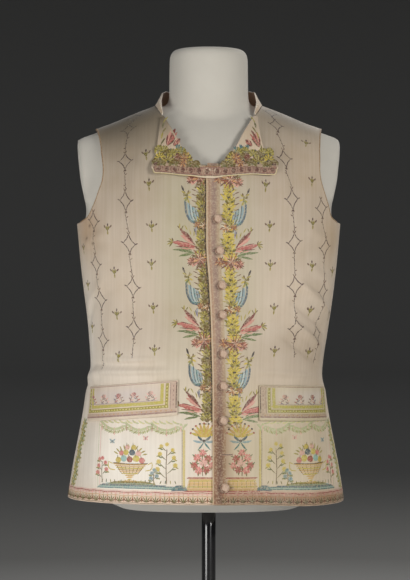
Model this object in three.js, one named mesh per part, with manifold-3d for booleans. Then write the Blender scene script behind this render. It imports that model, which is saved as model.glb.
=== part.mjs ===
// A square-cut waistcoat worn by a limbless dress form on a pole and round base.
// Millimetres, +Z up, origin on the floor under the pole. The front faces -Y and +X is the wearer's left.
// Every cloth piece is a wall between two offsets of one smooth torso surface, so none of them touch.
import * as THREE from 'three';
import { mergeVertices } from 'three/addons/utils/BufferGeometryUtils.js';
import Module from 'manifold-3d';

// ---- driving dimensions -------------------------------------------------------------------------
const HEM = 410;        // hem above the floor
const CHEST = 405;      // foot of the armholes above the hem: the torso is widest here
const CLOTH = 1.8;      // silk, interlining and lining sewn together
const GAP = 0.3;        // between neighbouring pieces
const LAYER_GAP = 0.9;  // between a panel and what lies on it
const ROUND = 2.4;      // exponent of the torso's section: 2 is an ellipse, more is squarer
const BACK_ARCH = 2.3;  // the same for the way the shoulders roll over behind
const ARCH = 146;       // surface height that one radian of the shoulders' roll stands for
const ON_TOP = CLOTH + LAYER_GAP;
// The right front runs on under the left by this much, which lifts the left front as far as liftTo from
// the centre, and the lift fades out over the distance after it.
const LAP = { under: 25, liftTo: 37, fade: 45 };
// Side vents: top above the hem, each edge's distance from the seam's line at the hem, and how far the
// fronts' vent edges stand proud, below the vent's top by kickBelow and past this share of the way round.
const VENT = { top: 182, open: 7, kick: 4, kickBelow: 30, kickFrom: 0.6 };
const NECK = { across: 60, deep: 56, forward: 6, foot: 545, top: 668 };
const POLE = { radius: 10.5, segments: 24 };
const BASE = { radius: 165, thick: 8, boss: 26, bossTop: 30, segments: 36 };
const BUTTON = { radius: 6.8, thick: 3.4, shank: 2.2, stand: 1.6, segments: 14 };
const FLAP = { deep: 50, rows: 4, columns: 12 };
const COLLAR = { thick: 1.8, rows: 3, columns: 32 };
const NOTCH = 480;      // where the fronts' edges turn away into the neckline, above the hem
// How far the skirts hang to the wearer's right, fading out between two heights above the hem.
const SKIRT_SWING = { shift: 4.5, from: 140, top: 290 };
const LAPEL_COLUMNS = 6;
const LAPEL_CLIMB = { from: 15, fade: 40 }; // the right lapel rises over the left front's edge

// Inner face of the cloth: height above the hem, half width, depth in front and behind.
const GARMENT = [
  { at: 0, half: 200.5, front: 134, behind: 124 },
  { at: 50, half: 192.5, front: 128, behind: 117 },
  { at: 118, half: 179.5, front: 119, behind: 107 },
  { at: 155, half: 174, front: 113.5, behind: 100 },
  { at: 190, half: 171.5, front: 110, behind: 94 },
  { at: 246, half: 177, front: 108, behind: 92 },
  { at: 307, half: 185, front: 112, behind: 99 },
  { at: 350, half: 190, front: 115, behind: 105 },
  { at: CHEST, half: 195, front: 117, behind: 110 },
];

// Outside of the dress form at the same heights and below the hem, where it rounds in to the pole.
const FORM = [
  { at: -18, half: 128, front: 78, behind: 74 },
  { at: -16, half: 142, front: 90, behind: 84 },
  { at: -9, half: 161, front: 104, behind: 96 },
  { at: 6, half: 176, front: 116, behind: 106 },
  { at: 35, half: 179, front: 119, behind: 108 },
  { at: 85, half: 175, front: 115, behind: 104 },
  { at: 150, half: 166, front: 107, behind: 94 },
  { at: 195, half: 164, front: 104, behind: 88 },
  { at: 246, half: 170, front: 103, behind: 87 },
  { at: 307, half: 178, front: 107, behind: 94 },
  { at: 350, half: 183, front: 110, behind: 100 },
  { at: CHEST, half: 187, front: 112.5, behind: 105 },
];

// Height of the shoulder line above the hem, by distance from the centre.
const SHOULDER = [
  { at: 0, height: 596 },
  { at: 60, height: 589 },
  { at: 80, height: 582 },
  { at: 109, height: 571 },
  { at: 142, height: 557 },
  { at: 167, height: 548 },
  { at: 200, height: 537 },
];

// The form ends in flat shoulder ends: past its corner the section runs out squarely to this depth.
const SHOULDER_END = { half: 198, corner: 150, depth: 56, power: 4, growth: 0.3 };
const FORM_GAP = 3.6;   // under the cloth where the form carries it
const FORM_AROUND = 48;
const FORM_LEVELS = 10; // above the chest
// The form's width above the chest: it hollows under the arm and spreads to the shoulder end.
const STUMP = [
  { at: 0, spread: 1 },
  { at: 0.16, spread: 0.975 },
  { at: 0.5, spread: 1.02 },
  { at: 1, spread: 1.062 },
];

// Front edge of the wearer's left front, by height above the hem.
const EDGE = [
  { at: 0, x: 10.8 },
  { at: 134, x: 10.8 },
  { at: 171, x: 10.2 },
  { at: 208, x: 8 },
  { at: 271, x: 3.6 },
  { at: 320, x: 1 },
  { at: 373, x: -2 },
  { at: CHEST, x: -2 },
];

// From the chest up, level by level: the front edge and neckline on one side, the armhole on the other.
// The right front's armhole is cut a little deeper than the left's.
const UPPER_FRONT = [
  { neckX: -2, neckH: 412, right: 188, left: 188, armH: 408 },
  { neckX: -1, neckH: 420, right: 176.7, left: 179, armH: 415 },
  { neckX: 0, neckH: 436, right: 167.5, left: 174.5, armH: 432 },
  { neckX: 1, neckH: 452, right: 161, left: 169, armH: 450 },
  { neckX: 2, neckH: 468, right: 155, left: 163, armH: 470 },
  { neckX: 5, neckH: 480, right: 154, left: 161.5, armH: 486 },
  { neckX: 22, neckH: 490, right: 154.6, left: 161.5, armH: 497 },
  { neckX: 36, neckH: 508, right: 156.2, left: 161.5, armH: 509 },
  { neckX: 48, neckH: 531, right: 158.3, left: 162.5, armH: 522 },
  { neckX: 58, neckH: 548, right: 160.5, left: 163.5, armH: 532 },
  { neckX: 68, neckH: 563, right: 163, left: 165, armH: 541 },
  { neckX: 76, neckH: 575, right: 165.5, left: 166.5, armH: 547 },
];
const UPPER_BACK = [
  { neckX: 0, neckH: 413, armX: 187, armH: 410 },
  { neckX: 0, neckH: 425, armX: 177, armH: 420 },
  { neckX: 0, neckH: 445, armX: 170, armH: 440 },
  { neckX: 0, neckH: 470, armX: 165, armH: 462 },
  { neckX: 0, neckH: 500, armX: 162, armH: 485 },
  { neckX: 0, neckH: 535, armX: 162, armH: 507 },
  { neckX: 0, neckH: 565, armX: 163, armH: 527 },
  { neckX: 32, neckH: 568, armX: 165, armH: 541 },
  { neckX: 66, neckH: 578, armX: 167, armH: 547 },
];
const NECK_POINT = 80;      // where the shoulder seam meets the neckline
const SHOULDER_POINT = 167.5; // where it meets the armhole
const PANEL_COLUMNS = 14;
const LOWER_LEVELS = [0, 25, 50, 84, 118, 150, VENT.top, 214, 246, 277, 307, 338, 372, CHEST];

// Lapels from the notch up: inner edge along the neckline, outer edges of the right and left lapel.
const LAPEL = [
  { at: 473, inner: 5, right: 74, left: 90 },
  { at: 481, inner: 6, right: 80, left: 97 },
  { at: 492, inner: 23, right: 78, left: 88 },
  { at: 510, inner: 37, right: 74, left: 79 },
  { at: 533, inner: 49, right: 71.5, left: 73 },
  { at: 549, inner: 58.5, right: 70, left: 71 },
  { at: 559, inner: 64, right: 69.5, left: 70 },
];

// The flaps' top edges: distance from the centre along the cloth, length, and height of both ends.
const FLAPS = [
  { name: 'pocket_flap_right', side: -1, start: 40, long: 149, startTop: 178, endTop: 165 },
  { name: 'pocket_flap_left', side: 1, start: 76, long: 124, startTop: 170, endTop: 166 },
];

// Buttons from the neck down: distance from the centre and height above the hem.
const BUTTONS = [
  { x: 12, h: 410 },
  { x: 15.2, h: 365 },
  { x: 18.3, h: 315 },
  { x: 19, h: 272 },
  { x: 22.2, h: 215 },
  { x: 24.3, h: 169 },
  { x: 24.3, h: 119.5 },
  { x: 26.6, h: 24 },
];

// The collar's foot from its front end to the centre back, how high it stands there and how far it leans in.
const COLLAR_FOOT = [
  { x: 69, h: 564, back: false, height: 3, lean: 0.3 },
  { x: 76, h: 575, back: false, height: 11, lean: 0.45 },
  { x: NECK_POINT, h: null, back: false, height: 21, lean: 0.48 },
  { x: 66, h: 578, back: true, height: 29, lean: 0.3 },
  { x: 32, h: 568, back: true, height: 35, lean: 0.22 },
  { x: 0, h: 565, back: true, height: 37, lean: 0.2 },
];

// ---- the torso surface --------------------------------------------------------------------------
// Reads a column of a table at any height, on a smooth curve through its rows.
function read(table, column, at) {
  const last = table.length - 1;
  let i = 0;
  while (i < last - 1 && at > table[i + 1].at) i += 1;
  const slope = (k) => {
    const lower = table[Math.max(k - 1, 0)];
    const upper = table[Math.min(k + 1, last)];
    return (upper[column] - lower[column]) / (upper.at - lower.at);
  };
  const span = table[i + 1].at - table[i].at;
  const f = Math.min(Math.max((at - table[i].at) / span, 0), 1);
  const rise = table[i + 1][column] - table[i][column];
  const [enter, leave] = [span * slope(i), span * slope(i + 1)];
  return table[i][column] + enter * f + (3 * rise - 2 * enter - leave) * f ** 2
    + (enter + leave - 2 * rise) * f ** 3;
}

const fade = (f) => {
  const g = Math.min(Math.max(f, 0), 1);
  return g * g * (3 - 2 * g);
};

function lean(h) {
  const { shift, from, top } = SKIRT_SWING;
  return -shift * (1 - fade((h - from) / (top - from)));
}

// A quarter of a section: a point at an angle w from the centre line, with the length of the curve to it.
function sectionPoint(half, depth, w) {
  return { x: half * Math.sin(w) ** (2 / ROUND), y: depth * Math.cos(w) ** (2 / ROUND) };
}

// Lengths along a quarter section at equal steps of its angle.
const RING_STEPS = 90;
const rings = new Map();
function ring(half, depth) {
  const key = `${half.toFixed(3)} ${depth.toFixed(3)}`;
  if (!rings.has(key)) {
    const lengths = [0];
    let before = sectionPoint(half, depth, 0);
    for (let i = 1; i <= RING_STEPS; i += 1) {
      const w = i === RING_STEPS ? Math.PI / 2 : (i / RING_STEPS) * (Math.PI / 2);
      const now = sectionPoint(half, depth, w);
      lengths.push(lengths[i - 1] + Math.hypot(now.x - before.x, now.y - before.y));
      before = now;
    }
    rings.set(key, lengths);
  }
  return rings.get(key);
}

function angleAt(half, depth, length) {
  const lengths = ring(half, depth);
  let i = 0;
  while (i < RING_STEPS - 1 && length > lengths[i + 1]) i += 1;
  const f = Math.min((length - lengths[i]) / (lengths[i + 1] - lengths[i]), 1);
  return ((i + f) / RING_STEPS) * (Math.PI / 2);
}

function lengthAt(half, depth, w) {
  const lengths = ring(half, depth);
  const place = Math.min(Math.max(w / (Math.PI / 2), 0), 1) * RING_STEPS;
  const i = Math.min(Math.floor(place), RING_STEPS - 1);
  return lengths[i] + (place - i) * (lengths[i + 1] - lengths[i]);
}

const SHOULDER_REACH = SHOULDER.at(-1).at;
const ridge = (x) => read(SHOULDER, 'height', Math.min(Math.abs(x), SHOULDER_REACH));
const depthName = (back) => (back ? 'behind' : 'front');

// Length round the cloth from the centre line to the side seam at a height above the hem.
function toSide(h, back) {
  return ring(read(GARMENT, 'half', h), read(GARMENT, depthName(back), h))[RING_STEPS];
}

// Surface coordinates { s, t } of a spot seen from the front at x, and h above the hem.
// With h null the spot is on the shoulder line.
function spot(x, h, back = false) {
  const level = h === null ? CHEST : Math.min(h, CHEST);
  const half = read(GARMENT, 'half', level);
  const w = Math.asin(Math.min((Math.abs(x) / half) ** (ROUND / 2), 1));
  const s = Math.sign(x) * lengthAt(half, read(GARMENT, depthName(back), level), w);
  if (h === null) return { s, t: CHEST + ARCH * (Math.PI / 2) };
  if (h <= CHEST) return { s, t: h };
  const rise = Math.min((h - CHEST) / (ridge(x) - CHEST), 1);
  return { s, t: CHEST + ARCH * Math.asin(back ? rise ** (BACK_ARCH / 2) : rise) };
}

// The point at s round from the centre line and t up the surface, d outside the cloth's inner face.
function skin({ s, t }, d, back = false) {
  const h = Math.min(t, CHEST);
  const half = read(GARMENT, 'half', h);
  const depth = read(GARMENT, depthName(back), h);
  const flat = sectionPoint(half + d, depth + d, angleAt(half, depth, Math.abs(s)));
  const x = Math.sign(s) * flat.x;
  let y = flat.y;
  let z = h;
  if (t > CHEST) {
    const arch = Math.min((t - CHEST) / ARCH, Math.PI / 2);
    const power = back ? 2 / BACK_ARCH : 1;
    y *= Math.max(Math.cos(arch), 0) ** power;
    z = CHEST + (ridge(x) + d - CHEST) * Math.sin(arch) ** power;
  }
  return new THREE.Vector3(x + lean(h), (back ? 1 : -1) * (y + GAP / 2), HEM + z);
}

// ---- making walls -------------------------------------------------------------------------------
const mix = (a, b, f) => ({ s: a.s + (b.s - a.s) * f, t: a.t + (b.t - a.t) * f });
const steps = (count, make) => Array.from({ length: count + 1 }, (_, i) => make(i / count));

// Rows of surface coordinates between two edges that have the same number of points.
function between(edgeA, edgeB, columns) {
  return edgeA.map((a, row) => steps(columns, (f) => mix(a, edgeB[row], f)));
}

// A closed wall over one or more grids of points; outer and inner give the two faces' places.
function wall(grids, outer, inner, flip = false) {
  const faces = [[], []];
  const known = new Map();
  const number = (point) => {
    const out = outer(point);
    const key = out.toArray().map((v) => v.toFixed(3)).join(' ');
    if (!known.has(key)) {
      known.set(key, faces[0].length);
      faces[0].push(out);
      faces[1].push(inner(point));
    }
    return known.get(key);
  };
  const triangles = [];
  for (const grid of grids) {
    const ids = grid.map((row) => row.map(number));
    for (let j = 0; j + 1 < ids.length; j += 1) {
      for (let i = 0; i + 1 < ids[j].length; i += 1) {
        const corners = [ids[j][i], ids[j][i + 1], ids[j + 1][i + 1], ids[j + 1][i]];
        const turned = grid.mirrored !== flip ? corners.toReversed() : corners;
        triangles.push([turned[0], turned[1], turned[2]], [turned[0], turned[2], turned[3]]);
      }
    }
  }
  const solid = triangles.filter(([a, b, c]) => a !== b && b !== c && c !== a);
  const sides = new Set(solid.flatMap(([a, b, c]) => [`${a} ${b}`, `${b} ${c}`, `${c} ${a}`]));
  const count = faces[0].length;
  const index = [];
  for (const [a, b, c] of solid) {
    index.push(a, b, c, count + c, count + b, count + a);
    for (const [p, q] of [[a, b], [b, c], [c, a]]) {
      if (!sides.has(`${q} ${p}`)) index.push(q, p, count + p, q, count + p, count + q);
    }
  }
  const geometry = new THREE.BufferGeometry();
  const places = [...faces[0], ...faces[1]].flatMap((v) => v.toArray());
  geometry.setAttribute('position', new THREE.Float32BufferAttribute(places, 3));
  geometry.setIndex(index);
  return geometry;
}

const waistcoat = new THREE.Group();
function piece(name, geometry, color, roughness = 0.8, metalness = 0) {
  const mesh = new THREE.Mesh(geometry, new THREE.MeshStandardMaterial({ color, roughness, metalness }));
  mesh.name = name;
  waistcoat.add(mesh);
  return mesh;
}
const SILK = 0xd6c8ae;
const LINEN = 0xcfc3ab;
const BORDER = 0xb8998c;
const COVER = 0xc9b4a0;

// ---- fronts and back ----------------------------------------------------------------------------
// How far the left front is raised near its edge to clear the right front under it.
const overlap = (s) => ON_TOP * (1 - fade((s - LAP.liftTo) / LAP.fade));

// The vent edges part below the side seam, and the fronts' stand out past the back's.
const sideEdge = (h, back) => ({ s: toSide(h, back) - VENT.open * (1 - fade(h / VENT.top)), t: h });
function kick({ s, t }) {
  if (t >= VENT.top) return 0;
  const round = (Math.abs(s) / toSide(t, false) - VENT.kickFrom) / (1 - VENT.kickFrom);
  return VENT.kick * fade((VENT.top - t) / VENT.kickBelow) * fade(round);
}

// One panel's rows from its front edge or centre line, then its neckline, to its side and armhole.
function panel(upper, lowerEdge, neckShift, back) {
  const neckline = upper.map((row) => spot(row.neckX + neckShift(row), row.neckH, back));
  const armhole = upper.map((row) => spot(row.armX, row.armH, back));
  const near = [...LOWER_LEVELS.map(lowerEdge), ...neckline, spot(NECK_POINT, null, back)];
  const side = LOWER_LEVELS.map((h) => sideEdge(h, back));
  const far = [...side, ...armhole, spot(SHOULDER_POINT, null, back)];
  return between(near, far, PANEL_COLUMNS);
}

// Side is -1 for the wearer's right and 1 for the left. Rows are made for the left and mirrored.
const placed = (side, point) => ({ s: side * point.s, t: point.t });
function mirrored(grid) {
  const other = grid.map((row) => row.map((point) => placed(-1, point)));
  other.mirrored = true;
  return other;
}

// The right front's edge lies under the left's, so below the notch it is the left's turned over and moved on.
const lapShift = (row) => (row.neckH <= NOTCH ? -2 * row.neckX - LAP.under : 0);
const armholeOf = (side) => UPPER_FRONT.map((row) => ({ ...row, armX: row[side] }));
const frontLeft = panel(armholeOf('left'), (h) => ({ s: read(EDGE, 'x', h), t: h }), () => 0, false);
const rightEdge = (h) => ({ s: -read(EDGE, 'x', h) - LAP.under, t: h });
const frontRight = panel(armholeOf('right'), rightEdge, lapShift, false);
const backHalf = panel(UPPER_BACK, (h) => ({ s: 0, t: h }), () => 0, true);

// d above the bare cloth of the left front, with its raised edge and its vent's kick.
const onLeft = (d) => (p) => skin(p, d + overlap(p.s) + kick(p));
const onRight = (d) => (p) => skin(p, d + kick(p));
const onBack = (d) => (p) => skin(p, d, true);

for (const grid of [frontLeft, backHalf]) grid.mirrored = false;
piece('front_right', wall([mirrored(frontRight)], onRight(CLOTH), onRight(0)), SILK, 0.55);
piece('front_left', wall([frontLeft], onLeft(CLOTH), onLeft(0)), SILK, 0.55);
piece('back', wall([backHalf, mirrored(backHalf)], onBack(CLOTH), onBack(0), true), LINEN);

// ---- lapels and pocket flaps --------------------------------------------------------------------
// Below the notch both lapels end on the left front's edge, which is past the centre for the right one.
const LAPEL_SHY = 0.5; // the left lapel stops this far short of its front's edge
const lapelInner = {
  right: (row) => (row.at <= NOTCH + 1 ? -row.inner : row.inner),
  left: (row) => row.inner + LAPEL_SHY,
};
const lapelRows = (side) => between(
  LAPEL.map((row) => spot(lapelInner[side](row), row.at)),
  LAPEL.map((row) => spot(row[side], row.at)),
  LAPEL_COLUMNS,
);
const lapelLeft = lapelRows('left');
const lapelRight = lapelRows('right');
lapelLeft.mirrored = false;
const climb = ({ s }) => ON_TOP * (1 - fade((-s - LAPEL_CLIMB.from) / LAPEL_CLIMB.fade));
const rightLapelPlace = (d) => (p) => skin(p, d + ON_TOP + climb(p));
piece('lapel_right', wall([mirrored(lapelRight)], rightLapelPlace(CLOTH), rightLapelPlace(0)), BORDER, 0.6);
piece('lapel_left', wall([lapelLeft], onLeft(CLOTH + ON_TOP), onLeft(ON_TOP)), BORDER, 0.6);

for (const flap of FLAPS) {
  const edge = (drop) => steps(FLAP.columns, (f) => ({
    s: flap.start + flap.long * f,
    t: flap.startTop + (flap.endTop - flap.startTop) * f - drop,
  }));
  const rows = steps(FLAP.rows, (f) => edge(FLAP.deep * (1 - f)));
  rows.mirrored = false;
  const place = flap.side > 0 ? onLeft : onRight;
  const grid = flap.side > 0 ? rows : mirrored(rows);
  piece(flap.name, wall([grid], place(CLOTH + ON_TOP), place(ON_TOP)), SILK, 0.6);
}

// ---- collar -------------------------------------------------------------------------------------
// The foot follows the neckline; from there the collar stands up and leans in to the neck.
function collarRing() {
  const half = COLLAR_FOOT.map((row) => {
    const foot = skin(spot(row.x, row.h, row.back), ON_TOP + GAP, row.back);
    foot.x = row.x;
    const up = row.height * Math.sqrt(1 - row.lean ** 2);
    return { foot, rise: new THREE.Vector2(up, row.height * row.lean) };
  });
  const turned = half.slice(0, -1).toReversed();
  const across = turned.map(({ foot, rise }) => ({ foot: new THREE.Vector3(-foot.x, foot.y, foot.z), rise }));
  const whole = [...half, ...across];
  const feet = new THREE.CatmullRomCurve3(whole.map((row) => row.foot));
  const rises = new THREE.SplineCurve(whole.map((row) => row.rise));
  const place = (along, up) => {
    const foot = feet.getPoint(along);
    const rise = rises.getPoint(along).multiplyScalar(up);
    const inward = new THREE.Vector3(-foot.x, -foot.y, 0).normalize();
    const here = foot.clone().addScaledVector(inward, rise.y);
    here.z += rise.x;
    return { place: here, inward };
  };
  return steps(COLLAR.rows, (up) => steps(COLLAR.columns, (along) => place(along, up)));
}
const collar = collarRing();
collar.mirrored = false;
const collarInner = ({ place, inward }) => place.clone().addScaledVector(inward, COLLAR.thick);
piece('collar', wall([collar], ({ place }) => place, collarInner), SILK, 0.6);

// ---- buttons ------------------------------------------------------------------------------------
// A flat cloth-covered mould on a short thread shank, turned about the way the cloth faces.
const buttonProfile = [
  [0, 0],
  [BUTTON.shank, 0],
  [BUTTON.shank, BUTTON.stand],
  [BUTTON.radius - 0.8, BUTTON.stand],
  [BUTTON.radius, BUTTON.stand + 1],
  [BUTTON.radius - 1.2, BUTTON.stand + BUTTON.thick - 0.7],
  [0, BUTTON.stand + BUTTON.thick - 0.4],
].map(([x, y]) => new THREE.Vector2(x, y));

BUTTONS.forEach(({ x, h }, k) => {
  const here = spot(x, h);
  const seat = onLeft(CLOTH)(here);
  const aside = onLeft(CLOTH)({ s: here.s + 2, t: here.t }).sub(seat);
  const above = onLeft(CLOTH)({ s: here.s, t: here.t + 2 }).sub(seat);
  const facing = aside.cross(above).normalize();
  const shape = new THREE.LatheGeometry(buttonProfile, BUTTON.segments);
  const button = piece(`button_${k + 1}`, shape, COVER, 0.7);
  button.quaternion.setFromUnitVectors(new THREE.Vector3(0, 1, 0), facing);
  button.position.copy(seat).addScaledVector(facing, 2 * GAP);
});

// ---- dress form, pole and base ------------------------------------------------------------------
// Half the shoulder end's depth at x: full at the corner and closing squarely at the end.
function shoulderEnd(x, arch) {
  const { half, corner, depth, power, growth } = SHOULDER_END;
  const out = (Math.abs(x) - corner) / (half - corner);
  if (out <= 0) return 0;
  return depth * (1 - Math.min(out, 1) ** power) ** (1 / power) * Math.cos(arch) * fade(arch / growth);
}

const NEARLY = 1e-9; // tells the front, back and side lines from the points beside them
function formPoint(w, level) {
  const back = Math.cos(w) < 0;
  const quarter = Math.asin(Math.min(Math.abs(Math.sin(w)), 1));
  const h = Math.min(level, CHEST);
  const flat = sectionPoint(read(FORM, 'half', h), read(FORM, depthName(back), h), quarter);
  let y = Math.abs(Math.cos(w)) < NEARLY ? 0 : flat.y;
  let x = Math.abs(Math.sin(w)) < NEARLY ? 0 : Math.sign(Math.sin(w)) * flat.x;
  let z = h;
  if (level > CHEST) {
    const arch = Math.min((level - CHEST) / ARCH, Math.PI / 2);
    const power = back ? 2 / BACK_ARCH : 1;
    y = arch === Math.PI / 2 ? 0 : y * Math.cos(arch) ** power;
    x *= read(STUMP, 'spread', Math.sin(arch));
    if (y > 0) y = Math.max(y, shoulderEnd(x, arch));
    z = CHEST + (ridge(x) - FORM_GAP - CHEST) * Math.sin(arch) ** power;
  }
  return new THREE.Vector3(x, back ? y : -y, HEM + z);
}

function formBody() {
  const around = FORM_AROUND;
  const levels = FORM.map((row) => row.at);
  for (let k = 1; k <= FORM_LEVELS; k += 1) levels.push(CHEST + (ARCH * Math.PI / 2) * (k / FORM_LEVELS));
  const places = [];
  const index = [];
  levels.forEach((level) => {
    for (let i = 0; i < around; i += 1) places.push(formPoint((i / around) * 2 * Math.PI, level));
  });
  for (let j = 0; j + 1 < levels.length; j += 1) {
    for (let i = 0; i < around; i += 1) {
      const [a, b] = [j * around + i, j * around + ((i + 1) % around)];
      index.push(a, b, b + around, a, b + around, a + around);
    }
  }
  places.push(new THREE.Vector3(0, 0, HEM + FORM[0].at));
  for (let i = 0; i < around; i += 1) index.push(places.length - 1, (i + 1) % around, i);
  const geometry = new THREE.BufferGeometry();
  geometry.setAttribute('position', new THREE.Float32BufferAttribute(places.flatMap((v) => v.toArray()), 3));
  geometry.setIndex(index);
  return geometry;
}

const wasm = await Module();
wasm.setup();
function toSolid(geometry) {
  const bare = geometry.clone();
  bare.deleteAttribute('normal');
  bare.deleteAttribute('uv');
  const merged = mergeVertices(bare, 1e-3);
  const triangles = [];
  for (let i = 0; i < merged.index.count; i += 3) {
    const corners = [merged.index.getX(i), merged.index.getX(i + 1), merged.index.getX(i + 2)];
    if (new Set(corners).size === 3) triangles.push(...corners);
  }
  return new wasm.Manifold(new wasm.Mesh({
    numProp: 3,
    vertProperties: new Float32Array(merged.attributes.position.array),
    triVerts: new Uint32Array(triangles),
  }));
}
function fromSolid(solid) {
  const { vertProperties, triVerts } = solid.getMesh();
  const geometry = new THREE.BufferGeometry();
  geometry.setAttribute('position', new THREE.Float32BufferAttribute(vertProperties, 3));
  geometry.setIndex(new THREE.Uint32BufferAttribute(triVerts, 1));
  return geometry;
}

const neckProfile = [
  [0, NECK.foot],
  [1, NECK.foot],
  [0.98, NECK.top - 12],
  [0.93, NECK.top - 4],
  [0.82, NECK.top],
  [0, NECK.top],
].map(([x, y]) => new THREE.Vector2(x, y));
const neck = new THREE.LatheGeometry(neckProfile, 32);
neck.rotateX(Math.PI / 2);
neck.scale(NECK.across, NECK.deep, 1);
neck.translate(0, -NECK.forward, HEM);
const torso = toSolid(formBody()).add(toSolid(neck));
piece('dress_form', fromSolid(torso), 0xd8d6d2, 0.85);

const poleTop = HEM + FORM[0].at - GAP;
const poleFoot = BASE.bossTop + GAP;
const pole = new THREE.CylinderGeometry(POLE.radius, POLE.radius, poleTop - poleFoot, POLE.segments);
const poleMesh = piece('pole', pole, 0x111111, 0.15, 0.6);
poleMesh.rotation.x = Math.PI / 2;
poleMesh.position.z = (poleTop + poleFoot) / 2;

const baseProfile = [
  [0, 0],
  [BASE.radius, 0],
  [BASE.radius, BASE.thick - 2],
  [BASE.radius - 2, BASE.thick],
  [BASE.boss + 4, BASE.thick],
  [BASE.boss, BASE.thick + 2],
  [BASE.boss - 6, BASE.bossTop],
  [0, BASE.bossTop],
].map(([x, y]) => new THREE.Vector2(x, y));
const base = piece('base', new THREE.LatheGeometry(baseProfile, BASE.segments), 0x151515, 0.4, 0.5);
base.rotation.x = Math.PI / 2;

export default waistcoat;
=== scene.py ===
"""A square-cut woven silk waistcoat on a limbless dress form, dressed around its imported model."""
import math
import random

import bpy
import numpy as np
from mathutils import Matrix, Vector


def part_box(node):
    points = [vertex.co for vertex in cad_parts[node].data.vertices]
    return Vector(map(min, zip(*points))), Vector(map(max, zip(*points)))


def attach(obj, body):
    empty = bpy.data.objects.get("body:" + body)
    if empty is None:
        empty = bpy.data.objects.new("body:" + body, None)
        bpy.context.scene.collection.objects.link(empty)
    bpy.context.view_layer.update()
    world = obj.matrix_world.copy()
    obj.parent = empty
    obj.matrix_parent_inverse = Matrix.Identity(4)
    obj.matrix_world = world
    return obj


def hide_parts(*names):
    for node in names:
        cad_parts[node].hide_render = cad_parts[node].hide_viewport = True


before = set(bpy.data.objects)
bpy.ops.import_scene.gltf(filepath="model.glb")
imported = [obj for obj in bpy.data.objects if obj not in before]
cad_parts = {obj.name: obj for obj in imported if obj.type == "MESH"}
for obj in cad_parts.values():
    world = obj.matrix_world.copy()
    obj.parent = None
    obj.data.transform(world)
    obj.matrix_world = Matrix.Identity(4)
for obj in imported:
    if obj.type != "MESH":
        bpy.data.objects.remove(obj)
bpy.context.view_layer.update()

# ---- base ----
# A heavy round steel plate with a turned boss that takes the pole.
# It is stoved satin black, a little dusty, and stands flat on the floor.
METRES = 0.001  # sizes below are in millimetres
BASE_RADIUS = 165
BASE_THICK = 8
BOSS_RADIUS = 26
BOSS_TOP = 30
ROUNDING, ROUNDING_STEPS = 2.5, 6
BASE_SIDES = 128


class Finish:
    """A material in the making: its shader, and short ways to add the nodes that feed it."""

    def __init__(self, name):
        self.material = bpy.data.materials.new(name)
        self.material.use_nodes = True
        self.tree = self.material.node_tree

    def feed(self, made, inputs):
        """Sets a node's inputs, which are numbers, colours or other nodes' outputs."""
        for key, value in inputs.items():
            if isinstance(value, bpy.types.NodeSocket):
                self.tree.links.new(value, made.inputs[key])
            else:
                made.inputs[key].default_value = value

    def add(self, kind, inputs, output=0, **settings):
        """Adds one node and gives one of its outputs."""
        made = self.tree.nodes.new("ShaderNode" + kind)
        for key, value in settings.items():
            setattr(made, key, value)
        self.feed(made, inputs)
        return made.outputs[output]

    def kept(self, name, kind="Color"):
        """A value that the mesh keeps for each of its points."""
        return self.add("Attribute", {}, kind, attribute_name=name)

    def places(self):
        """Places in the piece's own space, in metres."""
        return self.add("TexCoord", {}, "Object")

    def noise(self, places, scale, detail):
        return self.add("TexNoise", {"Vector": places, "Scale": scale, "Detail": detail})

    def fibres(self, places, scales, detail=1.0):
        """Noise that is stretched into threads."""
        return self.noise(self.add("Mapping", {0: places, "Scale": scales}), 1.0, detail)

    def steps(self, value, low, high, to_low=0.0, to_high=1.0):
        """Maps a value from one range to another and stops at the ends."""
        return self.add("MapRange", {0: value, 1: low, 2: high, 3: to_low, 4: to_high})

    def blend(self, share, first, second):
        return self.add("Mix", {0: share, 6: first, 7: second}, 2, data_type="RGBA")

    def sums(self, kind, first, second=0.0):
        return self.add("Math", {0: first, 1: second}, operation=kind)

    def shifted(self, tone, value, saturation):
        return self.add("HueSaturation", {"Color": tone, "Value": value, "Saturation": saturation})

    def bump(self, height, strength, distance):
        return self.add("Bump", {"Strength": strength, "Distance": distance, "Height": height})

    def done(self, inputs):
        """Feeds the shader and gives the material."""
        self.feed(self.tree.nodes["Principled BSDF"], inputs)
        return self.material


def colour(red, green, blue):
    """Screen values from 0 to 255 as a linear colour."""
    shares = [v / 255 for v in (red, green, blue)]
    return (*[v / 12.92 if v <= 0.04045 else ((v + 0.055) / 1.055) ** 2.4 for v in shares], 1.0)


def painted_black(name, roughness, dust):
    """Stoved black paint with a faint orange-peel surface, and dust where it faces up."""
    paint = Finish(name)
    places = paint.places()
    grime = paint.noise(places, 18.0, 6.0)
    up = paint.add("SeparateXYZ", {0: paint.add("NewGeometry", {}, "Normal")}, 2)
    dusty = paint.sums("MULTIPLY", paint.sums("MULTIPLY", paint.steps(up, 0.2, 1.0), dust), grime)
    return paint.done({
        "Base Color": paint.blend(dusty, colour(22, 22, 24), colour(150, 146, 138)),
        "Roughness": paint.steps(grime, 0.3, 0.7, roughness, roughness + 0.1),
        "Coat Weight": 0.4,
        "Coat Roughness": 0.08,
        "Normal": paint.bump(paint.noise(places, 350.0, 2.0), 0.12, 0.0004),
    })


def mesh_object(name, verts, faces, material):
    """A smooth-shaded mesh object from places in millimetres."""
    mesh = bpy.data.meshes.new(name)
    mesh.from_pydata((np.asarray(verts) * METRES).tolist(), [], faces)
    mesh.materials.append(material)
    mesh.polygons.foreach_set("use_smooth", [True] * len(mesh.polygons))
    made = bpy.data.objects.new(name, mesh)
    bpy.context.scene.collection.objects.link(made)
    return made


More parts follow.
